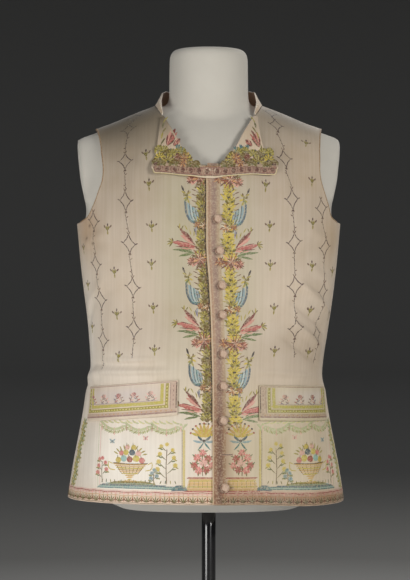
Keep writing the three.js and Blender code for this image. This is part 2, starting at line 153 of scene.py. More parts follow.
def ring_faces(rings, around, start=0, ends=(True, True)):
    """Faces between rings of points that follow one another, closed at the first and last if asked."""
    faces = []
    for foot in range(start, start + (rings - 1) * around, around):
        for i in range(around):
            a, b = foot + i, foot + (i + 1) % around
            faces.append((a, b, b + around, a + around))
    first, last = range(start, start + around), range(start + (rings - 1) * around, start + rings * around)
    return faces + [tuple(reversed(first))] * ends[0] + [tuple(last)] * ends[1]


def round_turns(around):
    """Equal turns once round, in radians."""
    return 2 * math.pi * np.arange(around) / around


def turned(name, profile, around, material, ends=(True, True)):
    """A turned piece, from its radius and height pairs."""
    points = [(r * math.cos(a), r * math.sin(a), h) for r, h in profile for a in round_turns(around)]
    return mesh_object(name, points, ring_faces(len(profile), around, 0, ends), material)


def rounded(radius, height):
    """The rounded upper corner of a profile."""
    turns = [math.pi / 2 * k / ROUNDING_STEPS for k in range(ROUNDING_STEPS + 1)]
    return [(radius + ROUNDING * math.cos(a), height + ROUNDING * math.sin(a)) for a in turns]


base_profile = [(20, 0), (BASE_RADIUS - 1, 0), (BASE_RADIUS, 1)]
base_profile += rounded(BASE_RADIUS - ROUNDING, BASE_THICK - ROUNDING)
base_profile += [(BASE_RADIUS - 8, BASE_THICK), (100, BASE_THICK), (BOSS_RADIUS + 5, BASE_THICK)]
base_profile += [(BOSS_RADIUS + 1.5, BASE_THICK + 0.8), (BOSS_RADIUS, BASE_THICK + 2.6)]
base_profile += [(BOSS_RADIUS - 1.5, 14), (BOSS_RADIUS - 4, 22), *rounded(BOSS_RADIUS - 8, BOSS_TOP - 2.6)]
base_profile += [(13, BOSS_TOP - 0.1)]
base_plate = turned("base_plate", base_profile, BASE_SIDES, painted_black("satin black paint", 0.34, 0.3))
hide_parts("base")
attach(base_plate, "root")

# ---- pole ----
# A straight steel tube, stoved gloss black, pushed into the boss below and the form's block above.
# Its paint is thick and clean, so it mirrors the lamps in long narrow streaks.
POLE_RADIUS, POLE_EDGE = 10.5, 0.6
POLE_SIDES, POLE_STEPS = 96, 8
low, high = (corner[2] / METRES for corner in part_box("pole"))
pole_profile = [(4, low), (POLE_RADIUS - POLE_EDGE, low), (POLE_RADIUS, low + POLE_EDGE)]
pole_profile += [(POLE_RADIUS, low + (high - low) * k / POLE_STEPS) for k in range(1, POLE_STEPS)]
pole_profile += [(POLE_RADIUS, high - POLE_EDGE), (POLE_RADIUS - POLE_EDGE, high), (4, high)]
pole = turned("pole_tube", pole_profile, POLE_SIDES, painted_black("gloss black paint", 0.1, 0.08))
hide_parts("pole")
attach(pole, "root")

# ---- dress form ----
# A limbless torso of pressed paper under a stretched white jersey cover, with flat shoulder ends.
# It is one smooth body, the waistcoat lies on it, and a block inside takes the pole.
HEM = 410       # the waistcoat's hem above the floor
CHEST = 405     # foot of the armholes above the hem, where the torso is widest
ROUND = 2.4     # exponent of the torso's section: 2 is an ellipse, more is squarer
BACK_ARCH = 2.3  # the same for the way the shoulders roll over behind
ARCH = 146      # surface height that one radian of the shoulders' roll stands for
SHOULDER_REACH = 200
SHOULDER_LINE = [  # distance from the centre, height above the hem
    (0, 596), (60, 589), (80, 582), (109, 571), (142, 557), (167, 548), (SHOULDER_REACH, 537)]
FORM_SECTIONS = [  # height above the hem, half width, depth in front, depth behind
    (-18, 128, 78, 74), (-16, 142, 90, 84), (-9, 161, 104, 96), (6, 176, 116, 106),
    (35, 179, 119, 108), (85, 175, 115, 104), (150, 166, 107, 94), (195, 164, 104, 88),
    (246, 170, 103, 87), (307, 178, 107, 94), (350, 183, 110, 100), (CHEST, 187, 112.5, 105)]
STUMP_SPREAD = [(0, 1.0), (0.16, 0.975), (0.5, 1.02), (1, 1.062)]
END_HALF, END_CORNER, END_DEPTH, END_POWER = 198, 150, 56, 4  # the flat shoulder ends
FORM_GAP = 3.6
FORM_AROUND, FORM_ROWS_LOW, FORM_ROWS_HIGH = 96, 44, 26
NECK_ACROSS, NECK_DEEP, NECK_FORWARD, NECK_TOP = 60, 56, 6, 668
NECK_ROWS = [(545, 1), (NECK_TOP - 12, 0.98), (NECK_TOP - 4, 0.93), (NECK_TOP, 0.82)]  # height, share
FORM_WELD, FORM_VOXEL = 0.05, 3.6
FORM_SMOOTHING = 26


def between(start, rise, enter, leave, f):
    """A smooth way from one value to the next that enters and leaves at given slopes."""
    return start + enter * f + (3 * rise - 2 * enter - leave) * f**2 + (enter + leave - 2 * rise) * f**3


def read(table, column, at):
    """A smooth curve through one column of a table whose first column is the place."""
    at = np.asarray(at, float)
    place, value = (np.array([row[c] for row in table], float) for c in (0, column))
    rows = np.arange(len(table))
    ahead, behind = np.minimum(rows + 1, rows[-1]), np.maximum(rows - 1, 0)
    slope = (value[ahead] - value[behind]) / (place[ahead] - place[behind])
    k = np.clip(np.searchsorted(place, at, side="right") - 1, 0, len(table) - 2)
    span = place[k + 1] - place[k]
    f = np.clip((at - place[k]) / span, 0, 1)
    return between(value[k], value[k + 1] - value[k], span * slope[k], span * slope[k + 1], f)


def fade(f):
    """Runs softly from 0 to 1."""
    g = np.clip(f, 0, 1)
    return g * g * (3 - 2 * g)


def ridge(x):
    """Height of the shoulder line above the hem."""
    return read(SHOULDER_LINE, 1, np.minimum(np.abs(x), SHOULDER_REACH))


def section_point(half, depth, w):
    """A quarter of a rounded section, w radians round from the centre line."""
    return half * np.abs(np.sin(w)) ** (2 / ROUND), depth * np.abs(np.cos(w)) ** (2 / ROUND)


def form_grid():
    """The torso's surface, level by level, in millimetres."""
    foot = FORM_SECTIONS[0][0]
    low = np.linspace(0, 1, FORM_ROWS_LOW) ** 0.8 * (CHEST - foot) + foot
    high = CHEST + ARCH * math.pi / 2 * np.arange(1, FORM_ROWS_HIGH + 1) / FORM_ROWS_HIGH
    level, turn = np.meshgrid(np.concatenate([low, high]), round_turns(FORM_AROUND), indexing="ij")
    back = np.cos(turn) < 0
    h = np.minimum(level, CHEST)
    depth = np.where(back, read(FORM_SECTIONS, 3, h), read(FORM_SECTIONS, 2, h))
    quarter = np.arcsin(np.clip(np.abs(np.sin(turn)), 0, 1))
    across, away = section_point(read(FORM_SECTIONS, 1, h), depth, quarter)
    arch = np.clip((level - CHEST) / ARCH, 0, math.pi / 2)
    power = np.where(back, 2 / BACK_ARCH, 1)
    x = np.sign(np.sin(turn)) * across * read(STUMP_SPREAD, 1, np.sin(arch))
    y = away * np.clip(np.cos(arch), 0, 1) ** power
    out = np.clip((np.abs(x) - END_CORNER) / (END_HALF - END_CORNER), 0, 1)
    plate = END_DEPTH * (1 - out**END_POWER) ** (1 / END_POWER) * np.cos(arch) * fade(arch / 0.3)
    y = np.where((out > 0) & (y > 0), np.maximum(y, plate), y)
    top = CHEST + (ridge(x) - FORM_GAP - CHEST) * np.sin(arch) ** power
    return np.stack([x, np.where(back, y, -y), HEM + np.where(level > CHEST, top, h)], axis=-1)


def build_form(material):
    """The torso and its neck, melted into one skin and smoothed."""
    rows = form_grid()
    verts = rows.reshape(-1, 3).tolist()
    faces = ring_faces(len(rows), FORM_AROUND, 0, (True, False))
    faces += ring_faces(len(NECK_ROWS), FORM_AROUND, len(verts))
    for height, share in NECK_ROWS:
        for a in round_turns(FORM_AROUND):
            x, y = NECK_ACROSS * share * math.cos(a), NECK_DEEP * share * math.sin(a) - NECK_FORWARD
            verts.append([x, y, HEM + height])
    made = mesh_object("form_body", verts, faces, material)
    for kind, settings in (
        ("WELD", {"merge_threshold": FORM_WELD * METRES}),
        ("REMESH", {"mode": "VOXEL", "voxel_size": FORM_VOXEL * METRES, "use_smooth_shade": True}),
        ("SMOOTH", {"factor": 0.5, "iterations": FORM_SMOOTHING}),
    ):
        step = made.modifiers.new(kind, kind)
        for key, value in settings.items():
            setattr(step, key, value)
    shaped = made.evaluated_get(bpy.context.evaluated_depsgraph_get())
    kept, spare = bpy.data.meshes.new_from_object(shaped), made.data
    made.modifiers.clear()
    made.data = kept
    bpy.data.meshes.remove(spare)
    return made


def jersey_finish():
    """White cotton jersey: matt, faintly knitted, a little soiled in random patches."""
    jersey = Finish("white jersey")
    places = jersey.places()
    soiled = jersey.steps(jersey.noise(places, 9.0, 5.0), 0.3, 0.7)
    return jersey.done({
        "Base Color": jersey.blend(soiled, colour(200, 195, 184), colour(214, 209, 198)),
        "Normal": jersey.bump(jersey.fibres(places, (900.0, 900.0, 520.0)), 0.25, 0.0003),
        "Roughness": 0.85,
        "Sheen Weight": 0.2,
    })


form = build_form(jersey_finish())
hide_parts("dress_form")
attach(form, "root")

# ---- back ----
# The back is one width of plain unbleached linen, as only the fronts show under a coat.
# It is seamed to the fronts at the shoulders and sides, and the side seams open in short vents.
CLOTH = 1.8       # silk, interlining and lining sewn together
INSIDE = 0.2      # the cloth's inner face, off the line that it hangs on
GAP = 0.3         # between neighbouring pieces
LAYER_GAP = 0.9   # between a panel and what lies on it
ON_TOP = CLOTH + LAYER_GAP
SECTION_STEPS = 90
GARMENT_SECTIONS = [  # height above the hem, half width, depth in front, depth behind
    (0, 200.5, 134, 124), (50, 192.5, 128, 117), (118, 179.5, 119, 107), (155, 174, 113.5, 100),
    (190, 171.5, 110, 94), (246, 177, 108, 92), (307, 185, 112, 99), (350, 190, 115, 105),
    (CHEST, 195, 117, 110)]
SKIRT_SWING = 4.5  # how far the skirts hang to the wearer's right
SWING_FROM, SWING_TOP = 140, 290
VENT_TOP = 182
VENT_OPEN = 7
NECK_POINT, SHOULDER_POINT = 80, 167.5
LOWER_LEVELS = np.array([0, 25, 50, 84, 118, 150, VENT_TOP, 214, 246, 277, 307, 338, 372, CHEST], float)
UPPER_BACK = [  # neckline across and up, armhole across and up
    (0, 413, 187, 410), (0, 425, 177, 420), (0, 445, 170, 440), (0, 470, 165, 462), (0, 500, 162, 485),
    (0, 535, 162, 507), (0, 565, 163, 527), (32, 568, 165, 541), (66, 578, 167, 547)]
BACK_CREASES = [  # from round and up, to round and up, width, height
    (-150, 300, -60, 258, 9, 1.6), (-165, 270, -80, 238, 8, -1.3), (-140, 232, -50, 205, 10, 1.4),
    (150, 292, 70, 250, 9, 1.5), (160, 262, 88, 228, 8, -1.4), (132, 236, 40, 214, 9, 1.2),
    (-120, 400, -70, 520, 12, 1.5), (118, 410, 76, 530, 12, 1.4), (-30, 560, 30, 552, 9, -1.0),
    (-60, 20, -52, 150, 16, 1.8), (66, 10, 50, 160, 17, 1.9), (10, 15, 4, 120, 15, -1.4)]
BACK_ROWS, BACK_COLUMNS = 170, 150
CREASE_ENDS = 0.35  # share of a crease over which each end fades


def ring_lengths(half, depth):
    """Lengths along quarter sections at equal steps of their angle, one row for each section."""
    w = np.linspace(0, math.pi / 2, SECTION_STEPS + 1)
    across, away = section_point(np.ravel(half)[:, None], np.ravel(depth)[:, None], w)
    parts = np.hypot(np.diff(across), np.diff(away))
    return np.concatenate([np.zeros((len(parts), 1)), np.cumsum(parts, axis=1)], axis=1)


def angle_at(half, depth, length):
    """The angle at which a quarter section has run this length from the centre line."""
    lengths = ring_lengths(half, depth)
    length = np.ravel(length)
    k = np.clip((lengths < length[:, None]).sum(axis=1) - 1, 0, SECTION_STEPS - 1)
    rows = np.arange(len(k))
    f = np.clip((length - lengths[rows, k]) / (lengths[rows, k + 1] - lengths[rows, k]), 0, 1)
    return (k + f) / SECTION_STEPS * math.pi / 2


def length_at(half, depth, w):
    """The length that a quarter section has run at an angle."""
    lengths = ring_lengths(half, depth)
    at = np.clip(np.ravel(w) / (math.pi / 2), 0, 1) * SECTION_STEPS
    k = np.minimum(at.astype(int), SECTION_STEPS - 1)
    rows = np.arange(len(k))
    return lengths[rows, k] + (at - k) * (lengths[rows, k + 1] - lengths[rows, k])


def section_of(h, back):
    """Half width and depth of the garment at heights up to the chest."""
    return read(GARMENT_SECTIONS, 1, h), read(GARMENT_SECTIONS, 3 if back else 2, h)


def to_side(h, back=False):
    """Length round the cloth from the centre line to the side seam."""
    h = np.asarray(h, float)
    return ring_lengths(*section_of(h, back))[:, -1].reshape(h.shape)


def spot(x, h, back=False):
    """Places on the cloth, round and up, of spots seen from the front at x across and h above the hem."""
    x, h = np.broadcast_arrays(np.asarray(x, float), np.asarray(h, float))
    half, depth = section_of(np.minimum(h, CHEST), back)
    w = np.arcsin(np.minimum((np.abs(x) / half) ** (ROUND / 2), 1))
    s = np.sign(x) * length_at(half, depth, w).reshape(x.shape)
    rise = np.clip((h - CHEST) / (ridge(x) - CHEST), 0, 1)
    return s, np.where(h > CHEST, CHEST + ARCH * np.arcsin(rise ** (BACK_ARCH / 2 if back else 1)), h)


def skin(s, t, away, back=False):
    """The point s round from the centre line and t up the cloth, this far off its inner face."""
    s, t, away = np.broadcast_arrays(np.asarray(s, float), np.asarray(t, float), np.asarray(away, float))
    h = np.minimum(t, CHEST)
    half, depth = section_of(h, back)
    x, y = section_point(half + away, depth + away, angle_at(half, depth, np.abs(s)).reshape(s.shape))
    x = np.sign(s) * x
    arch = np.clip((t - CHEST) / ARCH, 0, math.pi / 2)
    power = 2 / BACK_ARCH if back else 1
    y = y * np.clip(np.cos(arch), 0, 1) ** power
    z = np.where(t > CHEST, CHEST + (ridge(x) + away - CHEST) * np.sin(arch) ** power, h)
    swing = -SKIRT_SWING * (1 - fade((h - SWING_FROM) / (SWING_TOP - SWING_FROM)))
    return np.stack([x + swing, (1 if back else -1) * (y + GAP / 2), HEM + z], axis=-1)


def along_edge(edge, at):
    """The edge's place at fractions of its row number, on a smooth line that never overshoots."""
    edge = np.asarray(edge, float)
    slopes = np.diff(edge, axis=0)
    tangent = np.zeros_like(edge)
    tangent[0], tangent[-1] = slopes[0], slopes[-1]
    same = slopes[1:] * slopes[:-1] > 0
    total = np.where(same, slopes[1:] + slopes[:-1], 1)
    tangent[1:-1] = np.where(same, 2 * slopes[1:] * slopes[:-1] / total, 0)
    k = np.clip(at.astype(int), 0, len(edge) - 2)
    return between(edge[k], slopes[k], tangent[k], tangent[k + 1], (at - k)[:, None])


def even_steps(edge, count):
    """Row numbers, with fractions, that part an edge into about equal lengths."""
    fine = np.linspace(0, len(edge) - 1, 40 * len(edge))
    run = np.concatenate([[0], np.cumsum(np.hypot(*np.diff(along_edge(edge, fine), axis=0).T))])
    return np.interp(np.linspace(0, run[-1], count + 1), run, fine)


def panel(near, far, rows, columns):
    """A grid of places on the cloth between two edges that have the same number of points."""
    at = even_steps(far, rows)
    first, last = along_edge(near, at)[:, None, :], along_edge(far, at)[:, None, :]
    return first + (last - first) * np.linspace(0, 1, columns + 1)[None, :, None]


def shell(name, outer, inner, material, rim=0.5):
    """A cloth wall between two grids of points, its edges turned round with a soft rim."""
    rows, columns = outer.shape[:2]
    count = rows * columns
    n = np.arange(count).reshape(rows, columns)
    face = np.stack([n[:-1, :-1], n[:-1, 1:], n[1:, 1:], n[1:, :-1]], axis=-1).reshape(-1, 4)
    edge = np.concatenate([n[0], n[1:, -1], n[-1, -2::-1], n[-2:0:-1, 0]])
    j, i = np.divmod(edge, columns)
    away = outer[j, i] - outer[np.clip(j, 1, rows - 2), np.clip(i, 1, columns - 2)]
    away = away / np.maximum(np.linalg.norm(away, axis=1), 1e-6)[:, None]
    middle = (outer[j, i] + inner[j, i]) / 2 + away * rim
    mid = 2 * count + np.arange(len(edge))
    after, mid_after = np.roll(edge, -1), np.roll(mid, -1)
    turn = np.stack([after, edge, mid, mid_after, mid_after, mid, edge + count, after + count], axis=1)
    faces = np.concatenate([face, face[:, ::-1] + count, turn.reshape(-1, 4)]).tolist()
    verts = np.concatenate([outer.reshape(-1, 3), inner.reshape(-1, 3), middle])
    return mesh_object(name, verts, faces, material), edge


def keep_values(made, name, values):
    """Keeps a colour or a place for each vertex, for the material to read."""
    kind, field = ("FLOAT_COLOR", "color") if values.shape[-1] == 4 else ("FLOAT_VECTOR", "vector")
    kept = made.data.attributes.new(name, kind, "POINT")
    kept.data.foreach_set(field, np.ascontiguousarray(values, dtype=np.float32).ravel())


def for_both_faces(values, edge):
    """A grid's values for a shell's outer face, inner face and rim."""
    flat = values.reshape(-1, values.shape[-1])
    return np.concatenate([flat, flat, flat[edge]])


def sewn(name, material, place, s, t, tint=None, flip=False, rim=0.5, start=0):
    """One piece of cloth: its wall on the body, the places of its cut and its tints, which hold stains and
    wear as well as painted shade and light.
    """
    way = -1 if flip else 1
    made, edge = shell(name, place(s, t, CLOTH)[:, ::way], place(s, t, INSIDE)[:, ::way], material, rim)
    keep_values(made, "cut", for_both_faces(np.dstack([s + start, t, 0 * s])[:, ::way], edge))
    if tint is not None:
        keep_values(made, "tint", for_both_faces(tint[:, ::way], edge))
    return made


def creases(s, t, table):
    """Height of listed soft ridges and troughs: each runs from one place to another."""
    total = np.zeros(np.broadcast(s, t).shape)
    for s0, t0, s1, t1, width, height in table:
        along = np.array([s1 - s0, t1 - t0], float)
        length = np.hypot(*along)
        along = along / length
        ahead = (s - s0) * along[0] + (t - t0) * along[1]
        aside = (t - t0) * along[0] - (s - s0) * along[1]
        fading = CREASE_ENDS * length
        ends = fade(ahead / fading + 0.25) * fade((length - ahead) / fading + 0.25)
        total = total + height * ends * np.exp(-((aside / width) ** 2))
    return total


def linen_finish():
    """Plain unbleached linen: uneven threads both ways, slubs, and a matt surface."""
    linen = Finish("unbleached linen")
    cut = linen.kept("cut", "Vector")
    warp, weft = linen.fibres(cut, (1.6, 0.09, 1.0), 2.0), linen.fibres(cut, (0.09, 1.6, 1.0), 2.0)
    threads = linen.sums("ADD", warp, weft)
    pale = linen.blend(linen.steps(threads, 0.7, 1.3), colour(176, 164, 138), colour(212, 202, 178))
    age = linen.steps(linen.noise(cut, 0.012, 5.0), 0.45, 0.75, 0.0, 0.4)
    return linen.done({
        "Base Color": linen.blend(age, pale, colour(168, 150, 118)),
        "Normal": linen.bump(threads, 0.5, 0.0003),
        "Roughness": 0.82,
        "Sheen Weight": 0.15,
    })


def side_edge(back):
    """The side seam's line from the hem up, parted below the vent's top."""
    away = VENT_OPEN * (1 - fade(LOWER_LEVELS / VENT_TOP))
    return np.stack([to_side(LOWER_LEVELS, back) - away, LOWER_LEVELS], axis=1)


def upper_edge(table, columns, point, back):
    """The rest of a panel's edge from the chest up to its end on the shoulder line."""
    x, h = (np.array([row[c] for row in table] + [end], float)
            for c, end in zip(columns, (point, float(ridge(point)))))
    return np.stack(spot(x, h, back), axis=1)


def on_back(s, t, away):
    """A point on the back, this far off its inner face, with its creases."""
    return skin(s, t, away + creases(s, t, BACK_CREASES), True)


near = np.stack([0 * LOWER_LEVELS, LOWER_LEVELS], axis=1)
near = np.concatenate([near, upper_edge(UPPER_BACK, (0, 1), NECK_POINT, True)])
far = np.concatenate([side_edge(True), upper_edge(UPPER_BACK, (2, 3), SHOULDER_POINT, True)])
cut_back = panel(near, far, BACK_ROWS, BACK_COLUMNS // 2)
cut_back = np.concatenate([cut_back[:, :0:-1] * np.array([-1, 1]), cut_back], axis=1)
back = sewn("back_panel", linen_finish(), on_back, *np.moveaxis(cut_back, -1, 0), flip=True)
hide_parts("back")
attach(back, "root")

# ---- fronts ----
# Each front is one loom width of ivory silk, woven to shape with its borders and cut out along them.
# It is lined and turned in at the edges, and the wearer's left front laps over the right one.
LAP_UNDER = 25
LIFT_TO, LIFT_FADE = 37, 45
VENT_KICK, VENT_KICK_BELOW, VENT_KICK_FROM = 4, 30, 0.6
NOTCH = 480
CORNER_DROP = 5
RUMPLE_BROAD, RUMPLE_SMALL = 1.0, 0.4
FRONT_EDGE = [  # height above the hem, across
    (0, 10.8), (134, 10.8), (171, 10.2), (208, 8), (271, 3.6), (320, 1), (373, -2), (CHEST, -2)]
UPPER_FRONT = [  # front edge and neckline across and up, armhole across on the right and the left, and up
    (-2, 412, 188, 188, 408), (-1, 420, 176.7, 179, 415), (0, 436, 167.5, 174.5, 432),
    (1, 452, 161, 169, 450), (2, 468, 155, 163, 470), (5, 480, 154, 161.5, 486),
    (22, 490, 154.6, 161.5, 497), (36, 508, 156.2, 161.5, 509), (48, 531, 158.3, 162.5, 522),
    (58, 548, 160.5, 163.5, 532), (68, 563, 163, 165, 541), (76, 575, 165.5, 166.5, 547)]
FRONT_ROWS, FRONT_COLUMNS = 270, 92
WORN_HIGH, WORN_SHARE = 16, 0.6  # the worn strip along the shoulder seams
RIGHT_CREASES = [  # from round and up, to round and up, width, height
    (44, 191, 196, 187, 4.0, 3.8), (60, 200, 200, 199, 3.6, -2.6), (70, 208, 150, 205, 3.6, 2.2),
    (170, 182, 222, 178, 10, 4.6), (150, 330, 214, 270, 10, 2.4), (176, 300, 216, 246, 8, -2.0),
    (60, 8, 74, 120, 15, 3.1), (128, 4, 132, 118, 17, -1.9), (176, 20, 168, 130, 14, 1.6),
    (120, 400, 92, 520, 13, 2.0), (150, 392, 205, 372, 8, 2.0), (60, 470, 128, 506, 11, -1.7)]
LEFT_CREASES = [
    (128, 320, 206, 268, 7, 4.2), (120, 292, 202, 240, 6, -3.8), (116, 266, 194, 214, 6, 4.0),
    (108, 240, 182, 196, 5, -2.8), (150, 344, 212, 306, 8, 2.2), (72, 190, 176, 182, 5, 2.0),
    (58, 6, 66, 126, 15, 2.5), (112, 4, 122, 110, 16, -1.6), (160, 10, 168, 122, 15, 1.5),
    (118, 404, 96, 520, 13, 2.2), (150, 396, 200, 372, 8, 1.9), (52, 476, 126, 512, 10, -1.7)]
# The palest colour is both pale worn silk, on the collar's fold and its broken threads, and painted light on
# the right front's skirt and side.
IVORY, PALE_AND_PAINTED_LIGHT = colour(224, 207, 186), colour(248, 241, 229)
WORN, SOIL, RUST = colour(140, 112, 78), colour(196, 168, 132), colour(172, 128, 80)
PAINTED_SHADE, MILD_SHADE, GREYED = colour(104, 92, 70), colour(180, 164, 145), colour(190, 182, 154)
PINKISH, PINK_AND_SHADE = colour(216, 184, 156), colour(154, 122, 94)
SHADED, SPECK = colour(198, 184, 154), colour(84, 58, 42)
# Besides stains, rust, soil, specks and greying, these spots paint light and shade. The dark brown ones
# darken the shoulders and upper chest as painted shade, the dusky ones darken the chest and waist as painted
# shade, and the shaded one darkens the left front's skirt. The dull pink ones darken the left front's hem
# band, as pink and painted shade, and the ground along its edge band. The palest ones brighten the right
# front's skirt and side as painted light.
RIGHT_SPOTS = [  # round and up, width, height, share, colour
    (90, 440, 190, 130, 0.8, MILD_SHADE), (40, 350, 38, 220, 0.75, GREYED), (124, 592, 110, 64, 1.0, PAINTED_SHADE),
    (106, 540, 80, 60, 0.5, PAINTED_SHADE), (198, 396, 26, 38, 0.65, RUST), (205, 350, 34, 60, 0.3, SOIL),
    (150, 200, 90, 40, 0.4, PALE_AND_PAINTED_LIGHT), (104, 250, 90, 60, 0.5, MILD_SHADE), (120, 60, 120, 80, 0.9, PALE_AND_PAINTED_LIGHT),
    (204, 250, 34, 130, 0.6, PALE_AND_PAINTED_LIGHT), (110, 6, 400, 9, 0.8, PINKISH), (186, 402, 2.2, 2.2, 0.8, SPECK),
    (193, 384, 2.4, 2.2, 0.8, SPECK), (178, 376, 2.0, 2.4, 0.7, SPECK)]
LEFT_SPOTS = [
    (90, 440, 190, 140, 0.7, MILD_SHADE), (40, 310, 36, 200, 0.65, GREYED), (112, 596, 84, 52, 0.75, PAINTED_SHADE),
    (80, 510, 60, 50, 0.22, PAINTED_SHADE), (200, 388, 24, 40, 0.4, SOIL), (205, 470, 20, 30, 0.3, SOIL),
    (150, 480, 50, 60, 0.2, SOIL), (130, 214, 90, 60, 0.7, MILD_SHADE), (96, 74, 120, 74, 0.9, SHADED),
    (110, 8, 400, 12, 0.95, PINK_AND_SHADE), (20, 70, 15, 110, 1.0, PINK_AND_SHADE)]


def silk_finish():
    """Ribbed ivory silk with streaks along the warp, fine weft ribs, and a soft one-way sheen."""
    silk = Finish("ivory figured silk")
    cut = silk.kept("cut", "Vector")
    tint = silk.kept("tint")
    streak = silk.fibres(cut, (0.28, 0.006, 1.0), 4.0)
    streaks = silk.shifted(tint, 0.955, 1.04), silk.shifted(tint, 1.02, 0.97)
    streaked = silk.blend(silk.steps(streak, 0.36, 0.64), *streaks)
    cloud = silk.steps(silk.noise(cut, 0.02, 5.0), 0.46, 0.7, 0.0, 0.6)
    return silk.done({
        "Base Color": silk.blend(cloud, streaked, silk.shifted(streaked, 0.9, 1.2)),
        "Normal": silk.bump(silk.fibres(cut, (0.12, 1.9, 1.0)), 0.35, 0.0002),
        "Roughness": silk.steps(streak, 0.3, 0.7, 0.5, 0.62),
        "Sheen Weight": 0.25,
        "Sheen Roughness": 0.4,
        "Specular IOR Level": 0.35,
    })


def tinted(s, t, ground, spots):
    """A ground colour with soft spots of other colours, kept for each vertex."""
    out = np.zeros(np.broadcast(s, t).shape + (4,)) + np.array(ground)
    for s0, t0, wide, tall, share, other in spots:
        near = share * np.exp(-(((s - s0) / wide) ** 2) - ((t - t0) / tall) ** 2)
        out = out + (np.array(other) - out) * near[..., None]
    return out


def lift(s):
    """How far the left front is raised near its edge to clear the right front under it."""
    return ON_TOP * (1 - fade((s - LIFT_TO) / LIFT_FADE))


def kick(s, t):
    """The fronts stand out past the back along the vents."""
    round_it = (np.abs(s) / to_side(np.minimum(t, CHEST)) - VENT_KICK_FROM) / (1 - VENT_KICK_FROM)
    return VENT_KICK * fade((VENT_TOP - t) / VENT_KICK_BELOW) * fade(round_it)


def rumple(s, t, side):
    """The shallow unevenness of old silk, gone at the front edge, the side seam and the shoulder."""
    broad = np.sin(0.047 * s + 0.024 * t + 1.4 * np.sin(0.017 * t + side))
    broad = broad * np.sin(0.031 * t - 0.018 * s + side)
    small = np.sin(0.11 * s - 0.043 * t + side) * np.sin(0.083 * t + 0.9 * np.sin(0.05 * s + 2 * side))
    ends = fade((s - 14) / 30) * fade((196 - s) / 40) * fade((590 - t) / 70)
    return ends * (RUMPLE_BROAD * broad + RUMPLE_SMALL * small)


def on_left(s, t, away):
    """A point this far off the inner face of the wearer's left front, whose outer hem corner has dropped."""
    raised = away + lift(s) + kick(s, t) + creases(s, t, LEFT_CREASES) + rumple(s, t, 1)
    return skin(s, t - CORNER_DROP * fade((s - 60) / 110) * fade(1 - t / 90), raised)


def on_right(s, t, away):
    """The same on the wearer's right front, for s counted outwards from the centre line."""
    return skin(-s, t, away + kick(s, t) + creases(s, t, RIGHT_CREASES) + rumple(s, t, 2.3))


def make_front(side, under, place, spots):
    """Cuts out and sews up one front; under is how far its edge runs on under the other front."""
    edge = read(FRONT_EDGE, 1, LOWER_LEVELS)
    upper = [(-row[0] - under if under and row[1] <= NOTCH else row[0], *row[1:]) for row in UPPER_FRONT]
    near = np.stack([-edge - under if under else edge, LOWER_LEVELS], axis=1)
    near = np.concatenate([near, upper_edge(upper, (0, 1), NECK_POINT, False)])
    armhole = upper_edge(upper, (2 if under else 3, 4), SHOULDER_POINT, False)
    grid = panel(near, np.concatenate([side_edge(False), armhole]), FRONT_ROWS, FRONT_COLUMNS)
    s, t = grid[..., 0], grid[..., 1]
    tint = tinted(s, t, IVORY, spots)
    near_top = fade((t - (CHEST + ARCH * math.pi / 2 - WORN_HIGH)) / WORN_HIGH)[..., None]
    tint = tint + (np.array(WORN) - tint) * WORN_SHARE * near_top
    made = sewn("front_" + side + "_panel", silk, place, s, t, tint, side == "right")
    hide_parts("front_" + side)
    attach(made, "root")
    return made


silk = silk_finish()
FRONTS = {"right": on_right, "left": on_left}
front_right = make_front("right", LAP_UNDER, on_right, RIGHT_SPOTS)
front_left = make_front("left", 0, on_left, LEFT_SPOTS)

# ---- woven chains and sprigs ----
# The ground of each front is figured in the loom: thin thorny chains of lozenges run down it, with rows
# of small budded sprigs between them. Their silk floats lie a hair above the ground and sink in at the rims.
SUNK = -0.07      # a float's rim under the cloth's face
RAISED = 0.24     # and its middle above it
PETAL_STATIONS = np.array((0.0, 0.12, 0.34, 0.62, 0.86, 1.0))
PLUM, UMBER = colour(84, 56, 56), colour(108, 72, 56)
OLIVE, LIME = colour(112, 102, 44), colour(164, 150, 66)
LEAF, TEAL = colour(106, 120, 72), colour(78, 120, 118)
CHAINS = {  # places round and up of the lozenges' middles, from the shoulder down
    "right": [[(111, 588), (119, 554), (123, 492), (121, 434), (116, 375), (111, 312), (109, 252)],
              [(177, 409), (174, 346), (166, 294), (162, 235)]],
    "left": [[(92, 588), (99, 553), (111, 493), (121, 436), (125, 377), (126, 314), (129, 252)],
             [(173, 428), (180, 370), (179, 305), (171, 243)]],
}
SPRIGS = {
    "right": [(91, 497), (86, 455), (82, 403), (83, 348), (80, 285), (76, 224), (150, 400), (140, 337),
              (136, 276), (132, 214), (198, 318), (192, 256), (206, 372)],
    "left": [(82, 453), (88, 403), (89, 347), (95, 284), (98, 222), (146, 538), (155, 470), (155, 408),
             (155, 346), (155, 280), (157, 219), (206, 338), (203, 274)],
}
CHAIN_END_DROP = 44


def new_bag():
    """Holds the floats of one group of figures until they are laid on the cloth."""
    return {"places": [], "tones": [], "faces": [], "chance": random.Random(7)}


